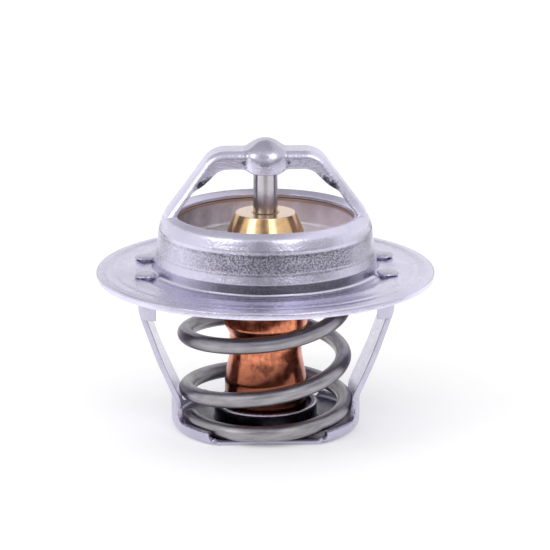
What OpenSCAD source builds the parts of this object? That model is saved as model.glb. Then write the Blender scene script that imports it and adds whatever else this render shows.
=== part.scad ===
// Wax-pellet coolant valve for a car engine, with its spring and two stamped frames.
// Z = 0 is the underside of the lower frame's pan. The bridge points up (+Z), the two legs lie along X.

/* [Flange] */
// Outside diameter of the flange
flange_d = 48; // [45:0.5:54]
// Thickness of the flange
flange_t = 1; // [0.8:0.05:1.2]
// Width of the flat clamping land round the flange's edge
land_w = 2.4; // [1.6:0.1:3]
// How far the flange inside the land is pressed up
land_step = 0.1; // [0.06:0.02:0.2]
// Chamfer on the flange's outer edge
edge_chamfer = 0.15; // [0.05:0.05:0.3]

/* [Collar] */
// Outside diameter of the collar at its foot
collar_d = 31.8; // [31:0.2:32.2]
// Height of the collar above the flange
collar_h = 8.4; // [7.6:0.1:9.4]
// Thickness of the drawn sheet of the collar and the bridge
sheet_t = 0.8; // [0.6:0.05:0.9]
// Diameter of the mouth inside the rolled lip
mouth_d = 25; // [24.4:0.1:25.4]
// Thickness of the lip over the valve's rim
lip_t = 1.1; // [0.9:0.05:1.3]
// Height at which the wall starts to step in
step_z = 1.8; // [1.2:0.1:2.4]
// Height of the sloped band of the step
step_h = 1.3; // [0.8:0.1:1.6]
// How far the wall steps in over the band
step_in = 0.4; // [0.2:0.05:0.5]
// Radius of the bend between the flange and the collar
foot_fillet = 0.45; // [0.3:0.05:0.6]

/* [Bridge] */
// Height of the bridge's flat top above the flange
bridge_h = 17.4; // [16.4:0.2:19]
// Distance from the axis to the corner where top and leg would meet
bridge_reach = 7.5; // [7:0.1:8.6]
// Outer bend radius at that corner
bridge_bend = 4; // [3:0.25:5]
// Width of the bridge's strap
bridge_w = 5.4; // [4.8:0.1:6]
// Width of the strap where it runs into the collar
bridge_foot_w = 6.6; // [6:0.1:7.4]
// Depth of the strap's turned-down sides
side_depth = 2.5; // [2:0.1:3]
// Outer bend radius between the top and the turned-down sides
side_bend = 0.95; // [0.9:0.05:1.2]
// How far the boss's dome stands above the flat top
boss_h = 1.5; // [1:0.1:2]
// Half length of the dome along the bridge
boss_reach = 3.1; // [2.9:0.1:4]
// Radius of the boss's bulged sides
boss_r = 3.8; // [3.5:0.05:4]
// How far the boss reaches down below the top of its dome
boss_depth = 4.7; // [4.2:0.1:5]

/* [Lower frame] */
// Depth from the flange's underside to the underside of the pan
frame_depth = 22; // [20.5:0.25:24]
// Thickness of the lower frame's sheet
frame_t = 0.8; // [0.6:0.05:0.9]
// Distance across the pan's two straight edges
pan_flats = 21; // [20:0.25:22]
// Height of the pan's wall
pan_wall_h = 1.9; // [1.6:0.1:2.4]
// Clear space between the pan's wall and the spring
pan_clear = 0.3; // [0.1:0.05:0.4]
// Outer bend radius round the pan's bottom
pan_bend = 1.2; // [1:0.1:1.5]
// Outside diameter of the lip round the pan's centre hole
hole_lip_d = 14.7; // [14:0.1:15.4]
// Height of that lip above the pan's underside
hole_lip_h = 3.4; // [2.6:0.1:4.2]
// Width of the legs
leg_w = 9; // [8:0.25:9.5]
// Distance between the outsides of the two leg heads
heads_span = 36.2; // [35.6:0.1:36.6]
// Width of the leg heads over their folded wings
head_w = 10.8; // [10.2:0.1:11.4]
// Height of the leg heads under the flange
head_h = 5.4; // [4.6:0.1:6]
// How far the wings reach in from the outside of a head
wing_reach = 2.5; // [2.3:0.1:2.7]
// Width of the tongues that pass through the flange
tongue_w = 2.1; // [1.8:0.1:2.2]
// Height of the peened heads on top of the flange
peen_h = 0.7; // [0.5:0.05:0.9]
// Length of a peened head
peen_l = 2.9; // [2.6:0.1:3.1]
// Width of a peened head
peen_w = 3.1; // [2.4:0.1:3.2]

/* [Spring] */
// Outside diameter of the coil
coil_d = 24.8; // [24.2:0.1:25.2]
// Diameter of the spring wire
wire_d = 2.25; // [2:0.05:2.3]

/* [Valve disc] */
// Thickness of the disc's sheet
disc_t = 0.7; // [0.6:0.05:0.8]
// How far the rim laps under the collar's lip
rim_lap = 0.7; // [0.6:0.05:0.9]
// Depth of the disc from its rim to the top of its floor
disc_depth = 3.8; // [3.2:0.1:4.2]
// Outer bend radius between the disc's wall and floor
disc_bend = 1; // [0.9:0.05:1.2]
// Height of the disc's hub above its floor
hub_h = 1.5; // [1:0.1:2]
// Diameter of the hub's flat top
hub_d = 16.6; // [15:0.2:17]
// Length of the slope round the hub
hub_slope = 1.1; // [0.8:0.1:1.3]

/* [Brass guide] */
// Largest diameter of the guide's cone
cone_d = 10.9; // [10.7:0.1:11.4]
// Diameter of the cone's flat top
cone_top_d = 8.4; // [7:0.1:9]
// Height of the cone
cone_h = 2.7; // [2.2:0.1:3.2]
// Height of the chamfer under the cone
cone_chamfer = 0.5; // [0.3:0.05:0.7]
// Diameter of the guide's body
body_d = 10.3; // [10:0.05:10.4]
// Diameter of the groove that the cup's waist grips
groove_d = 8.7; // [8:0.1:9]

/* [Copper cup] */
// Outside diameter of the cup below its waist
cup_d = 11.7; // [11.3:0.1:12]
// Wall thickness of the cup
cup_t = 0.78; // [0.6:0.02:0.8]
// Height from the pan's underside to the cup's bottom
cup_z = 0.8; // [0.4:0.1:1.4]
// Length of the cup
cup_l = 23.5; // [22:0.25:25]
// Height of the waist's middle above the cup's bottom
waist_z = 11.3; // [10.6:0.1:12]
// Straight length of the waist
waist_l = 3.1; // [2.4:0.1:3.4]
// Length of the slope above the waist
waist_slope = 1.3; // [1:0.1:1.6]
// Length of the flare below the waist
waist_flare = 3.6; // [3:0.1:3.8]
// How far the guide's foot reaches down into the flare
guide_foot_l = 2.6; // [2:0.1:2.8]

/* [Rubber boot] */
// Outside diameter of the boot's sleeve
boot_d = 6.6; // [6:0.1:7]
// Thickness of the boot's flange
boot_flange_t = 1; // [0.8:0.1:1.4]
// Length of the boot's sleeve below its flange
boot_l = 4.6; // [4:0.1:5]
// Thickness of the boot's closed end
boot_end_t = 1; // [0.8:0.1:1.4]

/* [Piston] */
// Diameter of the piston
piston_d = 3.46; // [3.2:0.02:3.6]
// Length of the cone on the piston's upper end
piston_tip = 1.1; // [0.8:0.1:1.4]

/* [Fits] */
// Radial clearance of the piston in its guide
piston_fit = 0.05; // [0.02:0.01:0.08]
// Clearance between pieces that are clamped, crimped or seated
seat_gap = 0.03; // [0.02:0.01:0.06]
// Clearance round the tongues in the flange's slots
slot_gap = 0.1; // [0.05:0.05:0.15]

/* [Hidden] */
$fn = 96;
STEEL = "#b9b8c4";
FRAME = "#aeadba";
WIRE = "#85858a";
BRASS = "#d9a441";
COPPER = "#c8683c";
RUBBER = "#2b2b2d";
WAX = "#e8dcb4";
// Steps of a small bend, a wide bend, and of the spring's wire and turns
BEND_STEPS = 5;
PATH_STEPS = 6;
FOOT_STEPS = 3;
WIRE_SIDES = 14;
TURN_STEPS = 36;
// Depth by which one form reaches into the form it grows from
ROOT = 0.3;

// Levels of the frames
land_z = frame_depth + flange_t;
web_z = land_z + land_step;
web_under = frame_depth + land_step;
top_z = land_z + bridge_h;
mouth_r = mouth_d / 2;

// Collar radii, from its foot up to the shoulder that rolls into the lip
foot_r = collar_d / 2;
foot_taper = 0.1;
neck_taper = 0.3;
neck_r = foot_r - foot_taper - step_in - neck_taper;
shoulder_r = 1.2;
shoulder_h = 2.3;
seat_z = land_z + collar_h - lip_t;
// Profile of the lip: its width, the drop of its inner edge, that edge's rounding, and the seat's corners
lip_w = 0.7;
lip_drop = 0.45;
lip_round = 0.2;
lip_chamfer = 0.1;
seat_round = 0.6;

// Lower frame
pan_r = coil_d / 2 + pan_clear + frame_t;
head_x = heads_span / 2;
leg_bend_low = 3;
leg_bend_high = 2;
leg_root_z = 3.2;
leg_turn_z = 4.76;
leg_top_z = web_under - head_h;
leg_inset = 0.35;
leg_lean = atan2(head_x - leg_inset - pan_r, leg_top_z - leg_turn_z);
wing_y = head_w / 2 - frame_t / 2;
tab_x = head_x - wing_reach / 2 + 0.15;
head_bend = 1.2;
peen_round = 0.5;
fillet_r = 1.4;
root_step = 0.05;
// The leg's section is curved like the pan at its root, and flat above its height over this number
flatten = 1.6;

// Valve disc
rim_r = mouth_r + rim_lap;
rim_z = seat_z - seat_gap;
floor_z = rim_z - disc_depth;
disc_under = floor_z - disc_t;
hub_z = floor_z + hub_h;
hub_hole_r = body_d / 2 + seat_gap;

// Spring: the wire's centre runs from the pan's floor to the disc's underside
wire_r = wire_d / 2;
coil_r = coil_d / 2 - wire_r;
wire_z0 = frame_t + wire_r + seat_gap;
wire_z1 = disc_under - wire_r - seat_gap;
// Share of that rise at each quarter turn, from a quarter turn left of the front
RISE = [0, 0, 0.068, 0.128, 0.155, 0.233, 0.37, 0.468, 0.513,
    0.574, 0.692, 0.765, 0.83, 0.895, 0.95, 0.985, 1, 1];
wire_start = 0.145;
wire_end = 16.5;

// Wax element
cup_r = cup_d / 2;
collar_cup_r = body_d / 2 + seat_gap + cup_t;
waist_r = groove_d / 2 + seat_gap + cup_t;
cup_top = cup_z + cup_l;
waist_mid = cup_z + waist_z;
waist_top = waist_mid + waist_l / 2;
waist_low = waist_mid - waist_l / 2;
cone_z = hub_z + seat_gap;
cone_wide_z = cone_z + cone_chamfer;
cone_top_z = cone_wide_z + cone_h;
chamber_r = cup_r - cup_t - seat_gap;
guide_foot_r = groove_d / 2 + (cup_r - waist_r) * guide_foot_l / waist_flare;
guide_foot_z = waist_low - guide_foot_l;
bore_r = piston_d / 2 + piston_fit;
bore_chamfer = 0.3;
cup_bend = 1.6;
boot_bend = 0.8;
boot_z = guide_foot_z - seat_gap;
boot_low = boot_z - boot_flange_t - boot_l;
chamber_low = cup_z + cup_t;
piston_chamfer = 0.3;
piston_low = boot_low + boot_end_t + seat_gap;
piston_top = top_z + boss_h - sheet_t - 0.1;

// Points of an arc in a profile, from angle a to angle b
function arc(x, z, rx, rz, a, b, n = BEND_STEPS) =
    [for (i = [0:n]) let (t = a + (b - a) * i / n) [x + rx * cos(t), z + rz * sin(t)]];

// End of a stretch of path of length l that turns by t degrees, from p with heading h
function stretch(p, h, l, t) = t == 0
    ? [p.x + l * cos(h), p.y + l * sin(h)]
    : let (r = l / (t * PI / 180)) [p.x + r * (sin(h + t) - sin(h)), p.y - r * (cos(h + t) - cos(h))];

// Stations [x, z, heading] along a path made of moves [length, turn, steps]
function walk(p, h, moves, k = 0) = k == len(moves) ? [] : concat(
    [for (i = [1:moves[k][2]])
        let (l = moves[k][0] * i / moves[k][2], t = moves[k][1] * i / moves[k][2], q = stretch(p, h, l, t))
        [q.x, q.y, h + t]],
    walk(stretch(p, h, moves[k][0], moves[k][1]), h + moves[k][1], moves, k + 1));

// Skin over rings with the same even number of points, closed by strips across its first and last ring
module loft(rings) {
    n = len(rings[0]);
    m = len(rings);
    end = (m - 1) * n;
    sides = [for (i = [0:m - 2], j = [0:n - 1])
        let (a = i * n + j, b = i * n + (j + 1) % n)
        each [[a, b, b + n], [a, b + n, a + n]]];
    first = [for (j = [0:n / 2 - 2])
        each [[j, n - 1 - j, j + 1], [j + 1, n - 1 - j, n - 2 - j]]];
    last = [for (t = first) [end + t[0], end + t[2], end + t[1]]];
    polyhedron(points = [for (ring = rings) each ring], faces = concat(sides, first, last), convexity = 8);
}

// Flange and collar as one drawn sheet, with a coined seat under the rolled lip
module flange_and_collar() {
    flange_r = flange_d / 2;
    land_r = flange_r - land_w;
    band_r = foot_r - foot_taper;
    neck_z = land_z + collar_h - shoulder_h;
    lip_z = land_z + collar_h - lip_drop;
    under_fillet = foot_fillet + sheet_t;
    rotate_extrude() polygon(concat(
        [[flange_r - edge_chamfer, frame_depth],
         [flange_r, frame_depth + edge_chamfer],
         [flange_r, land_z - edge_chamfer],
         [flange_r - edge_chamfer, land_z],
         [land_r, land_z],
         [land_r - 2 * land_step, web_z]],
        arc(foot_r + foot_fillet, web_z + foot_fillet, foot_fillet, foot_fillet, 270, 180),
        [[band_r, land_z + step_z],
         [band_r - step_in, land_z + step_z + step_h]],
        arc(neck_r - shoulder_r, neck_z, shoulder_r, shoulder_h, 0, 90, PATH_STEPS),
        [[mouth_r + lip_w, lip_z + lip_drop * 2 / 3],
         [mouth_r + lip_round, lip_z],
         [mouth_r, lip_z - lip_round],
         [mouth_r, seat_z + lip_chamfer],
         [mouth_r + lip_chamfer, seat_z]],
        arc(neck_r - sheet_t - seat_round, seat_z - seat_round, seat_round, seat_round, 90, 0),
        [[band_r - sheet_t - step_in, land_z + step_z + step_h],
         [band_r - sheet_t, land_z + step_z]],
        arc(foot_r + foot_fillet, web_under + under_fillet, under_fillet, under_fillet, 180, 270),
        [[land_r - 2 * land_step, web_under],
         [land_r, frame_depth]]
    ));
}

// Height share of the boss's dome, and the strap's half width and depth, at distance x from the axis
function dome(x) = x < boss_reach ? pow(cos(90 * pow(x / boss_reach, 1.25)), 2) : 0;
boss_crease = sqrt(boss_r * boss_r - bridge_w * bridge_w / 4);
foot_x = neck_r - 1.05;
foot_z = land_z + collar_h + 0.28;
foot_len = 2.2;
foot_depth = sheet_t + 0.3;
foot_thin = 0.4;
bridge_lean = atan2(top_z - foot_z, foot_x - bridge_reach);
bend_run = bridge_bend * tan(bridge_lean / 2);
bend_x = bridge_reach - bend_run;
leg_run = norm([foot_x - bridge_reach, top_z - foot_z]) - bend_run;
foot_turn = 26;
foot_bend = 4;
boss_round = 0.75;
function foot_share(x) = pow(max(0, x - bridge_reach) / (foot_x - bridge_reach), 2);
function strap_w(x) = x < boss_crease
    ? sqrt(boss_r * boss_r - x * x)
    : (bridge_w + (bridge_foot_w - bridge_w) * foot_share(x)) / 2;
function strap_bend(x) = side_bend + (strap_w(x) - side_bend) * boss_round * dome(x);
function side_share(x) = min(1, max(0, (foot_x - foot_len - x) / (foot_x - foot_len - bridge_reach)));
function strap_depth(x) = x < boss_crease
    ? boss_depth - boss_h + boss_h * dome(x)
    : foot_depth + (side_depth - foot_depth) * side_share(x);

// One section of the strap: a channel with rounded corners, hung from the point p of its outer line
function strap_ring(p, h, side, w, bend, depth, t, sink, crown) =
    let (
        r = min(bend, w - 0.05),
        q = max(bend - t, 0.15),
        outer = concat([[-w, depth]], arc(r - w, r, r, r, 180, 270),
            arc(w - r, r, r, r, 270, 360), [[w, depth]]),
        inner = concat([[w - t, depth]], arc(w - t - q, t + q, q, q, 360, 270),
            arc(-(w - t - q), t + q, q, q, 270, 180), [[-(w - t), depth]])
    )
    [for (s = concat(outer, inner))
        let (d = s.y + sink + crown * s.x * s.x / (2 * neck_r))
        [side * (p.x + d * sin(h)), s.x, p.y - d * cos(h)]];

// Sections of the right half of the bridge, from the axis to the foot inside the collar's wall
function half_bridge(side) =
    let (
        line = concat([[0, top_z, 0]],
            walk([0, top_z], 0, [[boss_crease, 0, PATH_STEPS + 1], [bend_x - boss_crease, 0, FOOT_STEPS],
                [bridge_bend * bridge_lean * PI / 180, -bridge_lean, PATH_STEPS], [leg_run, 0, PATH_STEPS],
                [foot_bend * foot_turn * PI / 180, -foot_turn, FOOT_STEPS]])),
        last = len(line) - 1
    )
    [for (i = [0:last])
        let (
            x = line[i].x,
            near = max(0, 1 - (last - i) / FOOT_STEPS),
            thin = foot_thin * near
        )
        strap_ring([x, line[i].y + boss_h * dome(x)], line[i][2], side, strap_w(x),
            strap_bend(x) * (1 - 0.6 * near), strap_depth(x) - thin, sheet_t - thin, thin / 2,
            1 - side_share(x))];

module bridge() {
    right = half_bridge(1);
    left = half_bridge(-1);
    loft(concat([for (i = [len(left) - 1:-1:1]) left[i]], right));
}

// The upper stamping: flange, collar and bridge, with slots for the lower frame's tongues
module upper_frame() {
    color(STEEL) difference() {
        union() {
            flange_and_collar();
            bridge();
        }
        for (sx = [-1, 1], sy = [-1, 1])
            translate([sx * tab_x, sy * wing_y, web_z])
                cube([tongue_w + 2 * slot_gap, frame_t + 2 * slot_gap, 3 * flange_t], center = true);
    }
}

// The pan, turned in profile: hole lip, floor, bend and wall up to the legs' roots
module pan_body() {
    hole_r = hole_lip_d / 2 - frame_t;
    wall_top = leg_root_z + ROOT;
    rotate_extrude() polygon(concat(
        arc(hole_r + pan_bend, pan_bend, pan_bend, pan_bend, 180, 270),
        arc(pan_r - pan_bend, pan_bend, pan_bend, pan_bend, 270, 360),
        [[pan_r, wall_top],
         [pan_r - frame_t, wall_top]],
        arc(pan_r - pan_bend, pan_bend, pan_bend - frame_t, pan_bend - frame_t, 360, 270),
        arc(hole_r + pan_bend, pan_bend, pan_bend - frame_t, pan_bend - frame_t, 270, 180),
        [[hole_r + frame_t, hole_lip_h],
         [hole_r, hole_lip_h]]
    ));
}

// Side outline of the pan: straight edges, low wall, and fillets up to the legs
module pan_outline() {
    y = leg_w / 2;
    top = leg_root_z + ROOT + 1;
    points = concat(
        [[pan_flats / 2, -1], [pan_flats / 2, pan_wall_h]],
        arc(y + fillet_r, pan_wall_h + fillet_r, fillet_r, fillet_r, 270, 180),
        [[y, top]]
    );
    rotate([90, 0, 90]) linear_extrude(2 * pan_r + 2, center = true)
        polygon(concat(points, [for (i = [len(points) - 1:-1:0]) [-points[i].x, points[i].y]]));
}

// Clear cylinder that keeps the hole's lip whole inside the outline
module hole_keep() {
    cylinder(h = 3 * hole_lip_h, r = hole_lip_d / 2 + 0.5, center = true);
}

// One section of a leg: a flat or curved strap, half as wide as w, reaching in from the line's point
function leg_ring(p, h, w, t, sink, curve) =
    let (
        n = 8,
        outer = [for (i = [0:n]) [-w + 2 * w * i / n, sink]],
        inner = [for (i = [n:-1:0]) [-w + 2 * w * i / n, sink + t]]
    )
    [for (s = concat(outer, inner))
        let (
            r = p.x - s.y * sin(h),
            flat = [r, p.y + s.y * cos(h)],
            bow = curve * (r - sqrt(r * r - s.x * s.x))
        )
        [flat.x - bow, -s.x, flat.y]];

// A leg, from its root in the pan's wall up to its head
module leg() {
    low = leg_bend_low * leg_lean * PI / 180;
    high = leg_bend_high * leg_lean * PI / 180;
    rise_low = leg_bend_low * tan(leg_lean / 2);
    rise_high = leg_bend_high * tan(leg_lean / 2);
    run = norm([head_x - pan_r, leg_top_z - leg_turn_z]) - rise_low - rise_high;
    wall_top = leg_root_z + ROOT;
    start_z = wall_top + root_step;
    line = concat(
        [[pan_r, leg_root_z, 90], [pan_r, wall_top - root_step, 90], [pan_r, start_z, 90]],
        walk([pan_r, start_z], 90, [[leg_turn_z - rise_low - start_z, 0, 1], [low, -leg_lean, BEND_STEPS],
            [run, 0, PATH_STEPS], [high, leg_lean, BEND_STEPS], [1, 0, 1]])
    );
    loft([for (i = [0:len(line) - 1])
        let (
            inside = i < 2 ? 2 * root_step : 0,
            share = (line[i].y - start_z) / (leg_top_z - start_z)
        )
        leg_ring(line[i], line[i][2], leg_w / 2 - inside, frame_t - 2 * inside, inside,
            min(1, pow(max(0, 1 - flatten * share), 1.5)))]);
}

// A leg's head: a channel with two folded wings, their tongues and peened ends
module leg_head() {
    inner_bend = head_bend - frame_t;
    x = head_x - head_bend;
    y = head_w / 2;
    tip_x = head_x - wing_reach;
    translate([0, 0, leg_top_z]) linear_extrude(head_h) polygon(concat(
        [[tip_x, -y]],
        arc(x, head_bend - y, head_bend, head_bend, 270, 360),
        arc(x, y - head_bend, head_bend, head_bend, 0, 90),
        [[tip_x, y],
         [tip_x, y - frame_t]],
        arc(x, y - head_bend, inner_bend, inner_bend, 90, 0),
        arc(x, head_bend - y, inner_bend, inner_bend, 360, 270),
        [[tip_x, frame_t - y]]
    ));
    for (sy = [-1, 1]) translate([tab_x, sy * wing_y, 0]) {
        translate([-tongue_w / 2, -frame_t / 2, web_under - ROOT])
            cube([tongue_w, frame_t, flange_t + ROOT + peen_h / 2]);
        translate([0, 0, web_z]) peened_head();
    }
}

// A peened head: a button with flattened sides and a chamfered top
module peened_head() {
    intersection() {
        cylinder(h = peen_h, r1 = (peen_l + peen_round) / 2, r2 = (peen_l - peen_round) / 2);
        translate([0, 0, peen_h / 2]) cube([peen_l, peen_w, peen_h], center = true);
    }
}

module lower_frame() {
    color(FRAME) union() {
        intersection() {
            pan_body();
            union() {
                pan_outline();
                hole_keep();
            }
        }
        for (turn = [0, 180]) rotate([0, 0, turn]) {
            leg();
            leg_head();
        }
    }
}

// Share of the spring's rise at u quarter turns, as a smooth curve through RISE
function rise(u) =
    let (
        i = min(floor(u), len(RISE) - 2),
        f = u - i,
        a = RISE[max(i - 1, 0)],
        b = RISE[i],
        c = RISE[i + 1],
        d = RISE[min(i + 2, len(RISE) - 1)]
    )
    b + 0.5 * f * (c - a + f * (2 * a - 5 * b + 4 * c - d + f * (3 * (b - c) + d - a)));

// The coil spring, wound right-handed, with both ends laid flat
module main_spring() {
    steps = floor((wire_end - wire_start) / 4 * TURN_STEPS);
    color(WIRE) loft([for (i = [0:steps])
        let (
            u = wire_start + (wire_end - wire_start) * i / steps,
            turn = 90 * u - 180,
            z = wire_z0 + (wire_z1 - wire_z0) * rise(u)
        )
        [for (j = [0:WIRE_SIDES - 1])
            let (a = 360 * j / WIRE_SIDES, r = coil_r + wire_r * cos(a))
            [r * cos(turn), r * sin(turn), z + wire_r * sin(a)]]]);
}

// The cupped valve disc: rim, wall, spring floor and raised hub
module valve_disc() {
    in_bend = disc_bend - disc_t;
    hub_r = hub_d / 2;
    hub_set = disc_t * tan(atan2(hub_h, hub_slope) / 2);
    rim_round = disc_t / 2;
    color(STEEL) rotate_extrude() polygon(concat(
        [[hub_hole_r, hub_z - disc_t],
         [hub_r - hub_set, hub_z - disc_t],
         [hub_r + hub_slope - hub_set, disc_under]],
        arc(rim_r - disc_bend, disc_under + disc_bend, disc_bend, disc_bend, 270, 360),
        arc(rim_r - rim_round, rim_z - rim_round, rim_round, rim_round, 0, 180),
        arc(rim_r - disc_bend, disc_under + disc_bend, in_bend, in_bend, 360, 270),
        [[hub_r + hub_slope, floor_z],
         [hub_r, hub_z],
         [hub_hole_r, hub_z]]
    ));
}

// The turned brass guide: cone head, body, gripped groove and foot, bored for the piston
module brass_guide() {
    body_r = body_d / 2;
    groove_r = groove_d / 2;
    color(BRASS) rotate_extrude() polygon([
        [bore_r, guide_foot_z],
        [guide_foot_r, guide_foot_z],
        [groove_r, waist_low],
        [groove_r, waist_top + seat_gap],
        [body_r, waist_top + waist_slope + seat_gap],
        [body_r, cone_z],
        [(cone_d - cone_chamfer) / 2, cone_z],
        [cone_d / 2, cone_wide_z],
        [cone_top_d / 2, cone_top_z],
        [bore_r + bore_chamfer, cone_top_z],
        [bore_r, cone_top_z - bore_chamfer]
    ]);
}

// The copper cup, drawn in one piece, with a waist rolled into the guide's groove
module copper_cup() {
    t = cup_t;
    color(COPPER) rotate_extrude() polygon(concat(
        [[0, cup_z]],
        arc(cup_r - cup_bend, cup_z + cup_bend, cup_bend, cup_bend, 270, 360),
        [[cup_r, waist_low - waist_flare],
         [waist_r, waist_low],
         [waist_r, waist_top],
         [collar_cup_r, waist_top + waist_slope],
         [collar_cup_r, cup_top],
         [collar_cup_r - t, cup_top],
         [collar_cup_r - t, waist_top + waist_slope],
         [waist_r - t, waist_top],
         [waist_r - t, waist_low],
         [cup_r - t, waist_low - waist_flare]],
        arc(cup_r - cup_bend, cup_z + cup_bend, cup_bend - t, cup_bend - t, 360, 270),
        [[0, cup_z + t]]
    ));
}

// The boot: a rubber sleeve closed at the bottom, with a flange clamped under the guide's foot
module rubber_boot() {
    boot_r = boot_d / 2;
    color(RUBBER) rotate_extrude() polygon(concat(
        [[0, boot_low]],
        arc(boot_r - boot_bend, boot_low + boot_bend, boot_bend, boot_bend, 270, 360),
        [[boot_r, boot_z - boot_flange_t],
         [guide_foot_r, boot_z - boot_flange_t],
         [guide_foot_r, boot_z],
         [bore_r, boot_z],
         [bore_r, boot_low + boot_end_t],
         [0, boot_low + boot_end_t]]
    ));
}

// The wax charge, filling the cup round and under the boot
module wax_charge() {
    g = seat_gap;
    boot_r = boot_d / 2 + g;
    bend = cup_bend - cup_t;
    boot_turn = boot_bend + g;
    color(WAX) rotate_extrude() polygon(concat(
        [[0, chamber_low + g]],
        arc(chamber_r - bend, chamber_low + g + bend, bend, bend, 270, 360),
        [[chamber_r, boot_z - boot_flange_t - g],
         [boot_r, boot_z - boot_flange_t - g]],
        arc(boot_r - boot_turn, boot_low + boot_bend, boot_turn, boot_turn, 360, 270),
        [[0, boot_low - g]]
    ));
}

// The piston, a ground pin with a cone that sits in the bridge's boss
module piston() {
    r = piston_d / 2;
    color(STEEL) rotate_extrude() polygon([
        [0, piston_low],
        [r - piston_chamfer, piston_low],
        [r, piston_low + piston_chamfer],
        [r, piston_top - piston_tip],
        [r - piston_tip, piston_top],
        [0, piston_top]
    ]);
}

upper_frame();
lower_frame();
main_spring();
valve_disc();
brass_guide();
copper_cup();
rubber_boot();
wax_charge();
piston();
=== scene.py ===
"""Looks of a car engine's coolant thermostat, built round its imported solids.

Every shape is a numpy surface in millimetres, on the axes of the solids: Z = 0 is the
underside of the pan, the bridge points up (+Z) and the two legs lie along X.
"""

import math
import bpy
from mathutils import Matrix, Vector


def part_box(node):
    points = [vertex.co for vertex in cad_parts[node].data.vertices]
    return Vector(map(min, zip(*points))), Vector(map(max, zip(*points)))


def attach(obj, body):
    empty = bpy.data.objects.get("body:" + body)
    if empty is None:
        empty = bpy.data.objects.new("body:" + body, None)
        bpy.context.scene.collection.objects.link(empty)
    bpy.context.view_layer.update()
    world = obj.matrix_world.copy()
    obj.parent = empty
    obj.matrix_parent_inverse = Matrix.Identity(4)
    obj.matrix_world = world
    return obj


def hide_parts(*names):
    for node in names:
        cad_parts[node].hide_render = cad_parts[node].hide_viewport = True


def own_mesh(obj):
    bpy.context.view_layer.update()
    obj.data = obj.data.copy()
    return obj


bl_info = {
    "name": "Engine thermostat",
    "version": (1, 0, 0),
    "blender": (4, 5, 0),
    "location": "3D View > Sidebar > Thermostat",
    "description": "Builds the frames, spring, valve disc and wax element of a coolant thermostat",
    "category": "Object",
}

import bmesh
import bpy
import numpy as np
from bpy.props import FloatProperty, FloatVectorProperty, PointerProperty
from mathutils import Matrix, Vector

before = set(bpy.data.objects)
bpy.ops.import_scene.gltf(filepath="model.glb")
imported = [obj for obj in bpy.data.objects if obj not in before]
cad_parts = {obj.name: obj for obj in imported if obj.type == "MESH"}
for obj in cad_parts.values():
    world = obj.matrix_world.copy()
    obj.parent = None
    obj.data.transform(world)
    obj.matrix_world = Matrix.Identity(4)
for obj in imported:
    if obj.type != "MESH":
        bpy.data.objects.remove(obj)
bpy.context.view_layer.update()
MM = 0.001
TAU = 2 * math.pi


def ends(node):
    """Lowest and highest corner of a solid at rest, in millimetres."""
    return [[v / MM for v in corner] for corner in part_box(node)[:2]]


UPPER_LOW, UPPER_HIGH = ends("upper_frame")
SPRING_LOW, SPRING_HIGH = ends("main_spring")
GUIDE_LOW, GUIDE_HIGH = ends("brass_guide")
CUP_LOW, CUP_HIGH = ends("copper_cup")
PISTON_LOW, PISTON_HIGH = ends("piston")
DISC_LOW, DISC_HIGH = ends("valve_disc")


# Sizes and finishes


def number(name, value, description, **kind):
    """A property that holds one number."""
    return FloatProperty(name=name, description=description, default=value, **kind)


def length(name, value, description):
    """A length, with its default given in millimetres."""
    return number(name, value * MM, description, min=0, unit="LENGTH", precision=5)


def angle(name, value, description):
    """An angle, with its default given in degrees."""
    return number(name, math.radians(value), description, subtype="ANGLE")


def fraction(name, value, description):
    """A number from 0 to 1."""
    return number(name, value, description, min=0, max=1, subtype="FACTOR")


def colour(name, value, description):
    """A colour, with its default as linear red, green and blue."""
    return FloatVectorProperty(
        name=name, description=description, default=value, min=0, max=1, size=3, subtype="COLOR"
    )


class UpperFrameSizes(bpy.types.PropertyGroup):
    flange_d: length("Flange diameter", UPPER_HIGH[0] - UPPER_LOW[0], "Across the flange")
    flange_t: length("Flange thickness", 1.0, "Thickness of the flange at its land")
    land_w: length("Land width", 2.4, "Width of the flat clamping land")
    wave: length("Flange wave", 0.09, "Height of the soft rings pressed into the flange")
    collar_d: length("Collar diameter", 31.8, "Outside diameter of the collar at its foot")
    collar_h: length("Collar height", 8.4, "Height of the collar above the flange")
    mouth_d: length("Mouth diameter", 25.0, "Diameter of the mouth inside the rolled lip")
    sheet_t: length("Sheet thickness", 0.8, "Thickness of the bridge's sheet")
    bridge_h: length("Bridge height", 17.4, "Height of the bridge's flat top above the flange")
    bridge_reach: length("Bridge reach", 7.5, "Distance from the axis to the bridge's bend")
    bridge_w: length("Bridge width", 5.4, "Width of the bridge's strap")
    side_depth: length("Side depth", 2.5, "Depth of the strap's turned-down sides")
    boss_h: length("Boss height", 1.36, "How far the boss stands above the strap")
    boss_r: length("Boss radius", 3.8, "Radius of the boss's bulged sides")


class LowerFrameSizes(bpy.types.PropertyGroup):
    sheet_t: length("Sheet thickness", 0.8, "Thickness of the lower frame's sheet")
    pan_r: length("Pan radius", 13.5, "Outside radius of the pan's wall")
    pan_flats: length("Pan flats", 21.0, "Distance across the pan's two straight edges")
    pan_wall_h: length("Pan wall height", 1.9, "Height of the pan's wall")
    hole_r: length("Hole radius", 6.55, "Radius of the hole inside its lip")
    hole_lip_h: length("Hole lip height", 3.4, "Height of the lip round the hole")
    leg_w: length("Leg width", 9.0, "Width of the legs")
    heads_span: length("Heads span", 36.2, "Distance between the outsides of the leg heads")
    head_w: length("Head width", 10.8, "Width of a leg head over its wings")
    wing_reach: length("Wing reach", 2.5, "How far the wings reach in from a head's outside")
    peen_l: length("Peened head length", 3.0, "Length of a peened head on the flange")
    peen_w: length("Peened head width", 3.1, "Width of a peened head on the flange")
    peen_h: length("Peened head height", 0.6, "Height of a peened head above the flange")


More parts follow.
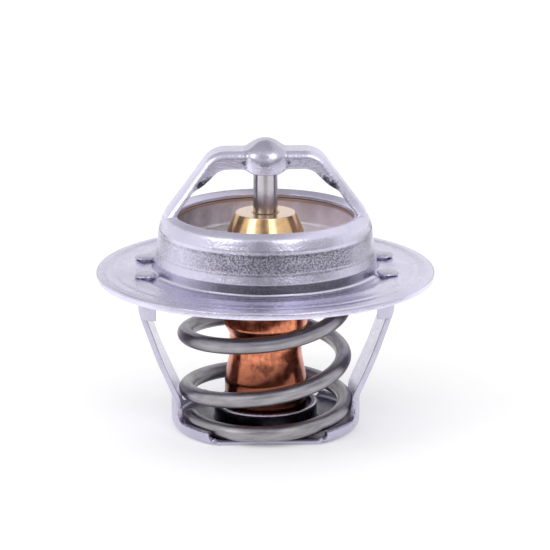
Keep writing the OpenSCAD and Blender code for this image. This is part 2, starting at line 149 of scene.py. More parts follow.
class ElementSizes(bpy.types.PropertyGroup):
    coil_d: length("Coil diameter", 24.8, "Outside diameter of the coil")
    wire_d: length("Wire diameter", 2.25, "Diameter of the spring wire")
    disc_t: length("Disc thickness", 0.7, "Thickness of the valve disc's sheet")
    cone_d: length("Cone diameter", GUIDE_HIGH[0] - GUIDE_LOW[0], "Across the guide's cone")
    cone_top_d: length("Cone top diameter", 8.4, "Diameter of the cone's flat top")
    cup_d: length("Cup diameter", 11.7, "Outside diameter of the cup below its waist")
    waist_d: length("Waist diameter", 10.32, "Outside diameter of the cup's rolled waist")
    piston_d: length("Piston diameter", PISTON_HIGH[0] - PISTON_LOW[0], "Across the piston")


class Finishes(bpy.types.PropertyGroup):
    plate: colour("Upper plate", (0.77, 0.74, 0.92), "Bright plating of the flange and bridge")
    # Lower plate: the upper plate's tint made darker, as painted shade under the flange
    shaded_leg_plate: colour("Lower plate", (0.57, 0.545, 0.675), "Plating of the pan and legs")
    disc: colour("Disc steel", (0.90, 0.84, 0.90), "Plain steel of the valve disc")
    wire: colour("Spring wire", (0.36, 0.35, 0.37), "Drawn wire of the spring")
    brass: colour("Brass", (0.84, 0.56, 0.30), "Turned brass of the guide")
    copper: colour("Copper", (0.86, 0.31, 0.17), "Drawn copper of the cup")
    piston: colour("Piston steel", (0.66, 0.64, 0.67), "Ground steel of the piston")
    rubber: colour("Rubber", (0.025, 0.025, 0.028), "Rubber of the boot")
    wax: colour("Wax", (0.78, 0.70, 0.45), "Wax charge in the cup")
    plate_gloss: fraction("Plate roughness", 0.21, "Roughness of the plated sheets")
    wire_gloss: fraction("Wire roughness", 0.34, "Roughness of the spring wire")


class StudioSettings(bpy.types.PropertyGroup):
    floor: colour("Floor", (0.92, 0.92, 0.92), "Colour of the pale floor")
    dark_card: colour("Dark card", (0.02, 0.02, 0.03), "Colour of the dark cards")
    distance: length("Camera distance", 440.0, "From the camera to the flange's centre")
    azimuth: angle("Camera azimuth", -2.2, "Round the object: 0 in front, positive to the right")
    elevation: angle("Camera elevation", 15.05, "Height angle of the camera above the horizon")
    world: number("Room light", 0.9, "Strength of the even light from all sides", min=0)
    key: number("Left lamp", 0.62, "Power of the lamp at the left front", min=0)
    fill: number("Right lamp", 0.35, "Power of the lamp at the right front", min=0)


def millimetres(group):
    """The lengths of a property group in millimetres, by name."""
    names = group.bl_rna.properties.keys()
    return {n: getattr(group, n) / MM for n in names if isinstance(getattr(group, n), float)}


# Outlines and surfaces


def rounded(corners, steps):
    """Line through corners (x, y, radius). Each corner becomes the arc of its radius that
    touches both of its sides, and a corner of radius 0 stays sharp."""
    corners = np.array(corners, float)
    parts = []
    for i, (x, y, radius) in enumerate(corners):
        p = np.array([x, y])
        a = corners[i - 1, :2] - p
        b = corners[(i + 1) % len(corners), :2] - p
        la, lb = np.linalg.norm(a), np.linalg.norm(b)
        a, b = a / la, b / lb
        half = math.acos(np.clip(a @ b, -1, 1)) / 2
        turn = math.pi - 2 * half
        if radius <= 0 or turn < 0.01:
            parts.append(p[None])
            continue
        reach = min(radius / math.tan(half), 0.49 * la, 0.49 * lb)
        radius = reach * math.tan(half)
        centre = p + (a + b) / np.linalg.norm(a + b) * radius / math.sin(half)
        t = np.linspace(0, 1, steps + 1)[:, None]
        start, end = p + a * reach - centre, p + b * reach - centre
        arc = (np.sin((1 - t) * turn) * start + np.sin(t * turn) * end) / math.sin(turn)
        parts.append(centre + arc)
    return np.concatenate(parts)


def outline(corners, arc_steps, step, closed=True):
    """A rounded line with points added evenly, so that no stretch is longer than step."""
    line = rounded(corners, arc_steps)
    starts = line if closed else line[:-1]
    runs = (np.roll(line, -1, 0) if closed else line[1:]) - starts
    counts = np.maximum(1, np.ceil(np.linalg.norm(runs, axis=1) / step)).astype(int)
    index = np.repeat(np.arange(len(starts)), counts)
    part = (np.arange(counts.sum()) - np.repeat(np.cumsum(counts) - counts, counts)) / counts[index]
    points = starts[index] + runs[index] * part[:, None]
    return points if closed else np.vstack([points, line[-1:]])


def skin(rows, columns, wrap_rows=False, wrap_columns=False):
    """Four-sided faces between neighbouring points of a grid of rows and columns."""
    i = np.arange(rows if wrap_rows else rows - 1)[:, None]
    j = np.arange(columns if wrap_columns else columns - 1)[None, :]
    k, m = (i + 1) % rows, (j + 1) % columns
    corners = [i * columns + j, i * columns + m, k * columns + m, k * columns + j]
    return np.stack(corners, -1).reshape(-1, 4)


def surface(x, y, z, wrap_rows=False, wrap_columns=False):
    """The surface through a grid of points. X, Y and Z are broadcast to the grid's shape."""
    points = np.stack(np.broadcast_arrays(x, y, z), -1)
    return points, skin(*points.shape[:2], wrap_rows, wrap_columns)


def turned(line, columns, closed=True):
    """A line of radius r and height h carried round the axis: the point at angle a is
    (r cos a, r sin a, h). A line that isn't closed starts and ends on the axis."""
    a = np.arange(columns)[:, None] * TAU / columns
    r, h = line[:, 0], line[:, 1]
    return surface(r * np.cos(a), r * np.sin(a), h, True, closed)


def smooth_step(t):
    """0 below 0, 1 above 1, and 3t^2 - 2t^3 between."""
    t = np.clip(t, 0, 1)
    return t * t * (3 - 2 * t)


def join(grids):
    """Several (points, faces) pairs as one pair."""
    points, faces, count = [], [], 0
    for p, f in grids:
        p = p.reshape(-1, 3)
        points.append(p)
        faces.append(f + count)
        count += len(p)
    return np.concatenate(points), np.concatenate(faces)


def put_mesh(name, grids, attributes=None):
    """An object at the origin from (points, faces) pairs in millimetres. Points that meet are
    merged, faces turned outwards, and the surface is shaded smooth."""
    points, faces = join(grids)
    mesh = bpy.data.meshes.new(name)
    mesh.vertices.add(len(points))
    mesh.vertices.foreach_set("co", (points * MM).astype(np.float32).ravel())
    mesh.loops.add(faces.size)
    mesh.loops.foreach_set("vertex_index", faces.astype(np.int32).ravel())
    mesh.polygons.add(len(faces))
    mesh.polygons.foreach_set("loop_start", np.arange(0, faces.size, 4, dtype=np.int32))
    mesh.update(calc_edges=True)
    for key, values in (attributes or {}).items():
        layer = mesh.attributes.new(key, "FLOAT_VECTOR", "POINT")
        layer.data.foreach_set("vector", values.astype(np.float32).ravel())
    work = bmesh.new()
    work.from_mesh(mesh)
    bmesh.ops.remove_doubles(work, verts=work.verts, dist=1e-7)
    bmesh.ops.dissolve_degenerate(work, edges=work.edges, dist=1e-8)
    bmesh.ops.recalc_face_normals(work, faces=work.faces)
    work.to_mesh(mesh)
    work.free()
    mesh.validate()
    mesh.polygons.foreach_set("use_smooth", np.ones(len(mesh.polygons), bool))
    piece = bpy.data.objects.new(name, mesh)
    bpy.context.scene.collection.objects.link(piece)
    return piece


def quad(name, corners):
    """One flat face through four corners in millimetres."""
    return put_mesh(name, [(np.array(corners, float), np.array([[0, 1, 2, 3]]))])


def cover(piece, material):
    """Gives a piece its only material."""
    piece.data.materials.clear()
    piece.data.materials.append(material)


def dress(piece, material, slot, body, *nodes):
    """Gives a piece its material, sets it on its body and in the place of its solids. The slot is
    not used.
    """
    cover(piece, material)
    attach(piece, body)
    if nodes:
        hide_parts(*nodes)


# Materials


class Paint:
    """A material's nodes: each call adds nodes and returns the output that is used next."""

    def __init__(self, name, base, metallic, roughness):
        self.material = bpy.data.materials.new(name)
        self.material.use_nodes = True
        self.tree = self.material.node_tree
        self.tree.nodes.clear()
        self.out = self.tree.nodes.new("ShaderNodeOutputMaterial")
        self.shader = self.tree.nodes.new("ShaderNodeBsdfPrincipled")
        self.tree.links.new(self.shader.outputs["BSDF"], self.out.inputs["Surface"])
        self.shader.inputs["Base Color"].default_value = (*base, 1)
        self.shader.inputs["Metallic"].default_value = metallic
        self.shader.inputs["Roughness"].default_value = roughness
        self.material.diffuse_color = (*base, 1)
        self.here = self.place()

    def add(self, kind, inputs, output=0, **settings):
        """A node of a kind, with settings, and inputs that are values or other outputs."""
        made = self.tree.nodes.new("ShaderNode" + kind)
        for key, value in settings.items():
            setattr(made, key, value)
        for key, value in inputs.items():
            if isinstance(value, bpy.types.NodeSocket):
                self.tree.links.new(value, made.inputs[key])
            else:
                made.inputs[key].default_value = value
        return made.outputs[output]

    def place(self, scale=(1, 1, 1)):
        """Object coordinates, in millimetres when scale is 1."""
        source = self.add("TexCoord", {}, "Object")
        return self.add("Mapping", {"Vector": source, "Scale": [v / MM for v in scale]})

    def axis(self, letter):
        """X, Y or Z of the place, in millimetres."""
        return self.add("SeparateXYZ", {0: self.here}, letter)

    def radius(self):
        """Distance from the axis, in millimetres."""
        return self.add("VectorMath", {0: self.place((1, 1, 0))}, "Value", operation="LENGTH")

    def bearing(self):
        """Angle round the axis, 0 in front and positive to the right."""
        return self.maths("ARCTAN2", self.axis("X"), self.times(self.axis("Y"), -1.0))

    def gap(self, point):
        """Distance from a point of the piece, in millimetres."""
        return self.add("VectorMath", {0: self.here, 1: point}, "Value", operation="DISTANCE")

    def spot(self, point, size):
        """1 within half of size from a point, fading to 0 at size."""
        return self.span(self.gap(point), size / 2, size, 1.0, 0.0)

    def noise(self, vector, scale, detail=2.0, roughness=0.5, distortion=0.0):
        """Cloud noise from about 0 to 1, with scale in cells per millimetre."""
        names = ("Vector", "Scale", "Detail", "Roughness", "Distortion")
        values = (vector, scale, detail, roughness, distortion)
        return self.add("TexNoise", dict(zip(names, values)))

    def rings(self, scale, detail=2.0):
        """Noise that changes with the distance from the axis and with height."""
        at = self.add("CombineXYZ", {"X": self.radius(), "Y": self.axis("Z")})
        return self.noise(at, scale, detail)

    def span(self, value, low, high, to_low=0.0, to_high=1.0):
        """Maps a value from one range to another, clamped."""
        names = ("Value", "From Min", "From Max", "To Min", "To Max")
        return self.add("MapRange", dict(zip(names, (value, low, high, to_low, to_high))))

    def between(self, value, a, b, c, d, least=0.0):
        """Least below a, 1 from b to c, and least again above d."""
        return self.times(self.span(value, a, b, least, 1.0), self.span(value, c, d, 1.0, least))

    def maths(self, operation, a, b):
        """Two values joined by one operation."""
        return self.add("Math", {0: a, 1: b}, operation=operation)

    def times(self, first, *others):
        """The product of all values."""
        for other in others:
            first = self.maths("MULTIPLY", first, other)
        return first

    def blend(self, part, a, b):
        """Mixes two colours, with part of the second."""
        pair = [v if isinstance(v, bpy.types.NodeSocket) else (*v, 1) for v in (a, b)]
        made = self.tree.nodes.new("ShaderNodeMix")
        made.data_type = "RGBA"
        for socket, value in zip((made.inputs[0], made.inputs[6], made.inputs[7]), (part, *pair)):
            if isinstance(value, bpy.types.NodeSocket):
                self.tree.links.new(value, socket)
            else:
                socket.default_value = value
        return made.outputs[2]

    def finish(self, tone, gloss=None, *layers):
        """Links what varies to the shader and returns the material. Gloss is a value with the
        roughness where it is 0.3 and where it is 0.7. Each layer of relief lies over the one
        before: a height, its depth in millimetres and its strength."""
        links = {"Base Color": tone}
        if gloss:
            links["Roughness"] = self.span(gloss[0], 0.3, 0.7, *gloss[1:])
        below = {}
        for height, depth, strength in layers:
            inputs = {"Height": height, "Distance": depth * MM, "Strength": strength, **below}
            below = {"Normal": self.add("Bump", inputs)}
        for key, value in {**links, **below}.items():
            self.tree.links.new(value, self.shader.inputs[key])
        return self.material


def tint(base, factor, shift=(0, 0, 0)):
    """A colour made darker or lighter by a factor, with a small shift."""
    return tuple(min(1.0, max(0.0, v * factor + s)) for v, s in zip(base, shift))


# Painted dark reflection bands round the collar, speckled: lowest and highest place, least and most
# depth of their dark tone
PAINTED_REFLECTION_BANDS = [
    (23.35, 24.65, 0.92, 1.0),
    (25.75, 26.0, 0.2, 0.7),
    (26.15, 28.7, 0.38, 0.88),
    (28.3, 28.7, 0.2, 0.7),
]
# Bearings in degrees between which the painted reflection bands are at full depth
BANDS_FULL_FROM, BANDS_FULL_TO = (-52, -24), (44, 62)
# Places on the bridge's front side with painted dark reflections: x, y, z, size, depth
PAINTED_DARK_REFLECTIONS = [
    (-7.9, -2.9, 36.2, 0.9, 0.8),
    (-8.9, -2.9, 35.5, 1.0, 0.9),
    (7.2, -2.9, 36.9, 0.6, 0.6),
    (8.2, -2.9, 36.3, 0.8, 0.85),
    (9.2, -2.9, 35.4, 1.1, 0.9),
    (-3.1, -2.8, 38.9, 0.34, 0.8),
    (3.15, -2.8, 38.9, 0.34, 0.8),
]
# Places of a dark nick at the collar's foot and of a raised burr on the flange, its brightness a
# painted glint
NICK, GLINTING_BURR = (-1.3, -16.35, 23.3), (14.66, -12.1, 23.1)


def plate_painted_light_and_nick(paint, tone, base, speckle):
    """Painted light over the upper frame's plain tone: dark reflections in bands round the collar,
    on the boss and in patches on the bridge, painted shade on the collar's right side, the rear lip
    and the right leg, and a dark nick at the collar's foot.
    """
    across, along, height = (paint.axis(letter) for letter in "XYZ")
    bearing = paint.bearing()
    # Painted dark reflection bands, at full depth between the bearings and at 0.3 of it elsewhere
    band_reach = paint.between(bearing, *np.radians([*BANDS_FULL_FROM, *BANDS_FULL_TO]), least=0.3)
    for low, high, least, most in PAINTED_REFLECTION_BANDS:
        band = paint.between(height, low - 0.08, low + 0.08, high - 0.1, high + 0.1)
        salt = paint.times(band, paint.span(speckle, 0.42, 0.58, least, most), band_reach)
        tone = paint.blend(salt, tone, tint(base, 0.16))
    # Painted shade on the collar's right side, the rear lip and the right leg
    right = paint.between(bearing, 0.7, 1.02, 1.25, 1.4)
    collar = paint.between(height, 23.2, 23.6, 29.0, 30.2)
    right_collar_shade = paint.times(right, collar, 0.42)
    rear_lip_shade = paint.times(paint.span(along, 5.0, 11.0), paint.span(height, 29.6, 30.6), 0.3)
    right_leg_shade = paint.times(paint.span(across, 8.0, 11.0), paint.span(height, 31.2, 33.0), 0.3)
    # Painted dark reflection on the boss, deeper just right of its middle
    middle = paint.span(paint.times(across, across), 5.5, 11.0, 1.0, 0.0)
    stripe = paint.times(paint.span(across, -0.5, 0.5), paint.span(across, 1.0, 2.6, 1.0, 0.4), 0.4)
    boss_reflection = paint.times(middle, paint.span(height, 38.2, 39.2), 0.3, paint.maths("ADD", stripe, 0.8))
    for dullness_and_shade in (right_collar_shade, rear_lip_shade, right_leg_shade, boss_reflection):
        tone = paint.blend(dullness_and_shade, tone, tint(base, 0.2))
    # Dark patches of painted reflection on the bridge's front side
    for x, y, z, size, depth in PAINTED_DARK_REFLECTIONS:
        ragged = paint.maths("ADD", paint.gap((x, y, z)), paint.span(speckle, 0.3, 0.7, -0.3, 0.3))
        dark_reflection_patch = paint.span(ragged, size * 0.6, size, depth, 0.0)
        tone = paint.blend(dark_reflection_patch, tone, (0.03, 0.03, 0.05))
    return paint.blend(paint.spot(NICK, 0.22), tone, (0.03, 0.03, 0.04))


def pan_painted_shade(paint, tone):
    """Painted shade, dark over the inside of the pan but left off the rim of the hole's lip."""
    height, radius = paint.axis("Z"), paint.radius()
    inside = paint.times(paint.span(height, 0.36, 0.6), paint.span(radius, 12.45, 12.75, 0.93, 0.0))
    rim = paint.times(paint.span(height, 3.08, 3.22), paint.span(radius, 7.0, 7.12))
    # Painted shade inside the pan, minus the lip's rim
    inner_shade = paint.maths("MAXIMUM", paint.maths("SUBTRACT", inside, rim), 0.0)
    return paint.blend(inner_shade, tone, (0.05, 0.045, 0.07))


def plated_steel(name, base, roughness, upper):
    """Bright plated sheet: pebbles from the bath, soft clouds of tone and drawing rings. The
    The upper frame also has its painted light and a burr with a painted glint, and the lower one
    painted shade inside its pan."""
    paint = Paint(name, base, 1.0, roughness)
    clouds = paint.noise(paint.here, 0.16, 4.0, 0.55)
    grain = paint.noise(paint.here, 3.0, 3.0, 0.65)
    speckle = paint.noise(paint.here, 4.4, 2.0, 0.6)
    tone = paint.blend(paint.span(clouds, 0.35, 0.65), tint(base, 0.93), tint(base, 1.05))
    tone = paint.blend(paint.span(speckle, 0.58, 0.72, 0.0, 0.35), tone, tint(base, 0.78))
    layers = [(grain, 0.045, 1.0), (paint.rings(1.6), 0.012, 0.6)]
    if upper:
        # A raised burr on the flange with a painted near-white glint
        burr_glint = paint.spot(GLINTING_BURR, 0.32)
        tone = paint.blend(burr_glint, plate_painted_light_and_nick(paint, tone, base, speckle), (0.95, 0.95, 1.0))
        layers.append((burr_glint, 0.08, 1.0))
    else:
        tone = pan_painted_shade(paint, tone)
    dullness_and_shade = paint.noise(paint.here, 0.9, 3.0)
    return paint.finish(tone, (dullness_and_shade, roughness - 0.05, roughness + 0.08), *layers)


def drawn_wire(name, base, roughness):
    """Spring wire: die lines along the wire, darker scale between them and a few bright rubs."""
    paint = Paint(name, base, 1.0, roughness)
    along = paint.add("Attribute", {}, "Vector", attribute_name="wire_place")
    fine = paint.add("Mapping", {"Vector": along, "Scale": (0.06, 4.0, 4.0)})
    broad = paint.add("Mapping", {"Vector": along, "Scale": (0.25, 1.2, 1.2)})
    lines = paint.noise(fine, 1.6, 4.0, 0.6)
    scale = paint.noise(broad, 1.4, 3.0, 0.6)
    pits = paint.noise(paint.here, 3.0, 2.0, 0.6)
    tone = paint.blend(paint.span(scale, 0.35, 0.65), tint(base, 0.80), tint(base, 1.18))
    tone = paint.blend(paint.span(lines, 0.55, 0.72, 0.0, 0.5), tone, tint(base, 1.5))
    tone = paint.blend(paint.span(pits, 0.66, 0.76, 0.0, 0.55), tone, tint(base, 0.35))
    pebble = paint.noise(paint.here, 7.0, 2.0)
    gloss = (lines, roughness - 0.06, roughness + 0.10)
    return paint.finish(tone, gloss, (lines, 0.02, 0.8), (pebble, 0.008, 0.8))


def turned_brass(name, base):
    """Brass with the lathe's fine rings, warmer and duller places, and a painted pale reflection on
    its top face.
    """
    paint = Paint(name, base, 1.0, 0.2)
    rings = paint.rings(5.0, 3.0)
    clouds = paint.noise(paint.here, 0.7, 4.0, 0.6)
    warm = tint(base, 0.86, (0, -0.02, -0.02))
    tone = paint.blend(paint.span(clouds, 0.35, 0.65), warm, base)
    tone = paint.blend(paint.span(rings, 0.58, 0.72, 0.0, 0.35), tone, tint(base, 0.62))
    # Painted pale reflection on the top face
    top = paint.span(paint.axis("Z"), GUIDE_HIGH[2] - 0.12, GUIDE_HIGH[2] - 0.04, 0.0, 0.7)
    tone = paint.blend(top, tone, (0.92, 0.78, 0.68))
    pebble = paint.noise(paint.here, 4.5, 2.0)
    return paint.finish(tone, (clouds, 0.14, 0.28), (rings, 0.012, 1.0), (pebble, 0.010, 0.8))


def drawn_copper(name, base):
    """Copper cup: draw lines up its wall, mottled grain and a painted dark reflection towards its
    bottom.
    """
    paint = Paint(name, base, 1.0, 0.18)
    draws = paint.noise(paint.place((2.6, 2.6, 0.10)), 1.3, 3.0, 0.6)
    mottle = paint.noise(paint.here, 0.8, 5.0, 0.62, 0.4)
    # Painted dark reflection towards the bottom, mottled
    low_down = paint.span(paint.axis("Z"), 6.0, 11.6, 1.0, 0.0)
    painted_dark_reflection = paint.times(low_down, paint.span(mottle, 0.3, 0.65, 0.55, 1.0))
    tone = paint.blend(paint.span(mottle, 0.40, 0.62), tint(base, 0.42, (0.02, -0.01, 0)), base)
    pale = tint(base, 1.1, (0.02, 0.05, 0.03))
    tone = paint.blend(paint.span(draws, 0.5, 0.72, 0.0, 0.4), tone, pale)
    tone = paint.blend(painted_dark_reflection, tone, tint(base, 0.2, (0, -0.01, 0)))
    return paint.finish(tone, (mottle, 0.14, 0.26), (draws, 0.02, 0.7), (mottle, 0.012, 0.8))


def disc_steel(name, base):
    """Valve disc: satin steel with drawing rings, painted shade to the left, and a painted brown
    reflection at its rim.
    """
    paint = Paint(name, base, 1.0, 0.42)
    clouds = paint.noise(paint.here, 0.35, 4.0, 0.6)
    rings = paint.rings(2.4, 3.0)
    warm = tint(base, 0.88, (0.02, 0, -0.02))
    tone = paint.blend(paint.span(clouds, 0.35, 0.65), warm, tint(base, 1.08))
    # Painted shade to the left, with a ragged edge
    ragged = paint.maths("ADD", paint.axis("X"), paint.span(clouds, 0.3, 0.7, -3.0, 3.0))
    tone = paint.blend(paint.span(ragged, -13.0, -1.0, 0.85, 0.0), tone, tint(base, 0.32))
    # Painted brown reflection at the rim
    rim = paint.span(paint.axis("Z"), DISC_HIGH[2] - 0.55, DISC_HIGH[2] - 0.25, 0.0, 0.85)
    tone = paint.blend(rim, tone, (0.30, 0.17, 0.09))
    pebble = paint.noise(paint.here, 6.0, 3.0)
    return paint.finish(tone, (clouds, 0.36, 0.50), (rings, 0.015, 0.8), (pebble, 0.01, 1.0))


def ground_steel(name, base):
    """Piston: fine grinding rings round it, and a faint painted reflection of the brass just above
    the guide.
    """
    paint = Paint(name, base, 1.0, 0.22)
    height = paint.axis("Z")
    rings = paint.noise(paint.add("CombineXYZ", {"Z": height}), 8.0, 3.0)
    tone = paint.blend(paint.span(rings, 0.4, 0.65), tint(base, 0.90), tint(base, 1.06))
    # Painted reflection of the brass just above the guide
    tone = paint.blend(paint.span(height, 31.2, 34.0, 0.75, 0.0), tone, (0.42, 0.33, 0.25))
    return paint.finish(tone, (rings, 0.17, 0.28), (rings, 0.006, 0.8))


def moulded_rubber(name, base):
    """Matt black rubber with a fine pebble."""
    paint = Paint(name, base, 0.0, 0.6)
    pebble = paint.noise(paint.here, 4.0, 3.0)
    tone = paint.blend(paint.span(pebble, 0.4, 0.65), base, tint(base, 1.6))
    return paint.finish(tone, (pebble, 0.5, 0.7), (pebble, 0.02, 1.0))


def packed_wax(name, base):
    """Pale wax with a crumbly surface."""
    paint = Paint(name, base, 0.0, 0.5)
    crumbs = paint.noise(paint.here, 2.0, 5.0, 0.65)
    tone = paint.blend(paint.span(crumbs, 0.35, 0.7), tint(base, 0.85), base)
    return paint.finish(tone, (crumbs, 0.4, 0.65), (crumbs, 0.05, 1.0))


# Upper frame


# Soft rings pressed into the flange: the radius of one crest and the distance to the next
RING_R, RING_PITCH = 18.75, 4.3
# Radius of the strap's bend, and radius and angle of its turn at the foot
STRAP_BEND, FOOT_BEND, FOOT_TURN = 4.0, 4.0, math.radians(26)
# The foot's distance from the axis, its height over the flange and half its width
FOOT_X, FOOT_HIGH, FOOT_HALF_W = 14.05, 8.68, 3.3
# Radius of the collar's curve that the strap's top takes on, and how far before the foot
COLLAR_CURVE, FOOT_LENGTH = 15.1, 2.2
# Over the last tenth of its line the strap thins by the first and sinks in by the second
END_THIN, END_SINK = 0.4, 0.2
# Outer radius of the strap's long corners, and reach and wall depth of the boss
CORNER_R = 0.95
BOSS_REACH, BOSS_WALL = 3.1, 3.1
# Share of the strap's side depth at distances beyond its bend, down to its foot
SIDE_RUN = [0, 1.0, 2.0, 2.6, 3.1, 3.4, 3.8, 4.4, 7.0]
SIDE_SHARE = [0.98, 0.9, 0.78, 0.7, 0.58, 0.47, 0.40, 0.37, 0.37]


def land_height(s):
    """Height of the flange's land, above the pan's underside."""
    return UPPER_LOW[2] + s["flange_t"]


def collar_outline(s):
    """Closed outline of flange and collar from the flange's edge over the collar to its inside,
    as rounded corners, with soft waves added over the flange's web."""
    land = land_height(s)
    web, under, top = land + 0.1, land - s["flange_t"], land + s["collar_h"]
    edge, land_r = s["flange_d"] / 2, s["flange_d"] / 2 - s["land_w"]
    foot, mouth = s["collar_d"] / 2, s["mouth_d"] / 2
    flange = [(edge, under, 0.18), (edge, land, 0.4), (land_r, land, 0.5)]
    flange += [(land_r - 0.35, web, 0.5), (foot, web, 0.5)]
    wall = [(foot - 0.1, land + 1.8, 0.5), (foot - 0.5, land + 3.1, 0.6)]
    wall += [(foot - 0.8, top - 2.2, 1.6), (foot - 1.35, top - 0.5, 1.4), (foot - 2.4, top, 1.2)]
    lip = [(mouth + 0.55, top - 0.12, 0.5), (mouth, top - 0.62, 0.28), (mouth, top - 1.1, 0.12)]
    inside = [(foot - 1.6, top - 1.1, 0.6), (foot - 1.3, land + 3.1, 0.6)]
    inside += [(foot - 0.9, land + 1.8, 0.6), (foot - 0.8, under + 0.1, 1.3)]
    inside += [(land_r - 0.35, under + 0.1, 0.5), (land_r, under, 0.5)]
    line = outline(flange + wall + lip + inside, 6, 0.3)
    r, z = line[:, 0], line[:, 1]
    part = smooth_step((r - foot - 0.9) / 0.8) * smooth_step((edge - 0.5 - r) / 0.8)
    turn = (r - RING_R) * TAU / RING_PITCH
    line[:, 1] = z + s["wave"] * part * (z > land - 0.3) * (np.cos(turn) + 0.3 * np.cos(2 * turn))
    return line


def bridge_line(s, steps):
    """Stations (x, z, heading, share of the length) of half the bridge's outer line: flat top,
    bend, leg and the turn at its foot, each a straight run or an arc of constant radius."""
    land = land_height(s)
    top, reach, foot = land + s["bridge_h"], s["bridge_reach"], land + FOOT_HIGH
    lean = math.atan2(top - foot, FOOT_X - reach)
    run = STRAP_BEND * math.tan(lean / 2)
    moves = [
        (reach - run, 0),
        (STRAP_BEND * lean, -lean),
        (math.hypot(FOOT_X - reach, top - foot) - run, 0),
        (FOOT_BEND * FOOT_TURN, -FOOT_TURN),
    ]
    total = sum(m[0] for m in moves)
    at = np.linspace(0, total, steps)
    x, z, h = np.zeros(steps), np.full(steps, top), np.zeros(steps)
    p, heading, start = np.array([0.0, top]), 0.0, 0.0
    for run_length, turn in moves:
        inside = at >= start
        d = np.minimum(at[inside] - start, run_length)
        from_sin, from_cos = math.sin(heading), math.cos(heading)
        if turn:
            r = run_length / turn
            now = heading + d / r
            heading += turn
            x[inside] = p[0] + r * (np.sin(now) - from_sin)
            z[inside] = p[1] - r * (np.cos(now) - from_cos)
            h[inside] = now
            p = p + r * np.array([math.sin(heading) - from_sin, from_cos - math.cos(heading)])
        else:
            x[inside] = p[0] + d * from_cos
            z[inside] = p[1] + d * from_sin
            h[inside] = heading
            p = p + run_length * np.array([from_cos, from_sin])
        start += run_length
    return x, z, h, at / total


def section_arc(cx, cy, r, a, b, n=9):
    """Arc points from angle a to b in degrees about (cx, cy), for every station at once."""
    v = np.radians(np.linspace(a, b, n))
    cx, cy, r = cx[:, None], cy[:, None], r[:, None]
    return np.stack([cx + r * np.cos(v), cy + r * np.sin(v)], -1)


def section_ring(parts):
    """Arcs and the points strictly between them, in turn, as one closed ring per station. Parts
    holds each arc with the number of points that follow it."""
    ring = []
    for (arc, count), (after, _) in zip(parts, parts[1:] + parts[:1]):
        v = (np.arange(1, count + 1) / (count + 1))[None, :, None]
        ring += [arc, arc[:, -1:] * (1 - v) + after[:, :1] * v]
    return np.concatenate(ring, 1)


def bridge_surface(s, steps=130):
    """The strap as a channel carried along its line. At each station the section is a flat top
    with round corners and two sides, closed by the sheet's thickness. Round the axis
    the half width follows a circle and the top rises as cos^2 to form the boss."""
    x, z, h, along = bridge_line(s, steps)
    reach, half_w = s["bridge_reach"], s["bridge_w"] / 2
    dome_at = math.pi / 2 * np.clip(x / BOSS_REACH, 0, 1) ** 1.25
    dome = np.where(x < BOSS_REACH, np.cos(dome_at) ** 2, 0)
    flare = half_w + (FOOT_HALF_W - half_w) * (np.maximum(0, x - reach) / (FOOT_X - reach)) ** 2
    bulge = np.sqrt(np.maximum(s["boss_r"] ** 2 - x**2, 0))
    crease = math.sqrt(s["boss_r"] ** 2 - half_w**2)
    mix = smooth_step((x - crease + 0.35) / 0.7)
    w = np.maximum(bulge, flare) * (1 - mix) + flare * mix
    side = s["side_depth"] * np.interp(x - reach, SIDE_RUN, SIDE_SHARE)
    depth = BOSS_WALL + (side - BOSS_WALL) * smooth_step((x - 1.5) / 1.9) + s["boss_h"] * dome
    near = smooth_step((along - 0.9) / 0.1)
    bend = (CORNER_R + (w - CORNER_R) * 0.75 * dome) * (1 - 0.6 * near)
    thick = s["sheet_t"] - END_THIN * near
    z = z + s["boss_h"] * dome
    # Inner radius of the long corners, and radius of the sides' sheared edges
    q = np.maximum(bend - thick, 0.15)
    e = np.minimum(0.16, thick * 0.4)
    ring = section_ring(
        [
            (section_arc(bend - w, bend, bend, 180, 270), 12),
            (section_arc(w - bend, bend, bend, 270, 360), 8),
            (section_arc(w - e, depth - e, e, 0, 90, 4), 0),
            (section_arc(w - thick + e, depth - e, e, 90, 180, 4), 7),
            (section_arc(w - thick - q, thick + q, q, 360, 270), 8),
            (section_arc(-(w - thick - q), thick + q, q, 270, 180), 7),
            (section_arc(-(w - thick + e), depth - e, e, 0, 90, 4), 0),
            (section_arc(-(w - e), depth - e, e, 90, 180, 4), 8),
        ]
    )
    full_at = FOOT_X - FOOT_LENGTH
    crown = (1 - np.clip((full_at - x) / (full_at - reach), 0, 1)) / (2 * COLLAR_CURVE)
    y, d = ring[..., 0], ring[..., 1]
    d = d + END_SINK * near[:, None] + crown[:, None] * y**2
    px = x[:, None] + d * np.sin(h)[:, None]
    pz = z[:, None] - d * np.cos(h)[:, None]
    half = np.stack([px, y, pz], -1)
    whole = np.concatenate([half[:0:-1] * np.array([-1, 1, 1]), half])
    caps = [np.broadcast_to(end.mean(0), end.shape)[None] for end in (whole[0], whole[-1])]
    points = np.concatenate([caps[0], whole, caps[1]])
    return points, skin(len(points), points.shape[1], False, True)


class THERMOSTAT_OT_upper_frame(bpy.types.Operator):
    """Flange, collar and bridge, one drawn stamping"""

    bl_idname = "thermostat.upper_frame"
    bl_label = "Upper Frame"

    def execute(self, context):
        s = millimetres(context.scene.thermostat_upper)
        finish = context.scene.thermostat_finishes
        piece = put_mesh("upper_frame_sheet", [turned(collar_outline(s), 300), bridge_surface(s)])
        steel = plated_steel("plated_steel", finish.plate, finish.plate_gloss, upper=True)
        dress(piece, steel, "plated_steel", "frame", "upper_frame")
        return {"FINISHED"}


# Lower frame


# Bend radii of the pan's bottom and of the folded wings, and the fillet at the leg's root
PAN_BEND, WING_BEND, ROOT_FILLET = 1.2, 1.2, 1.4
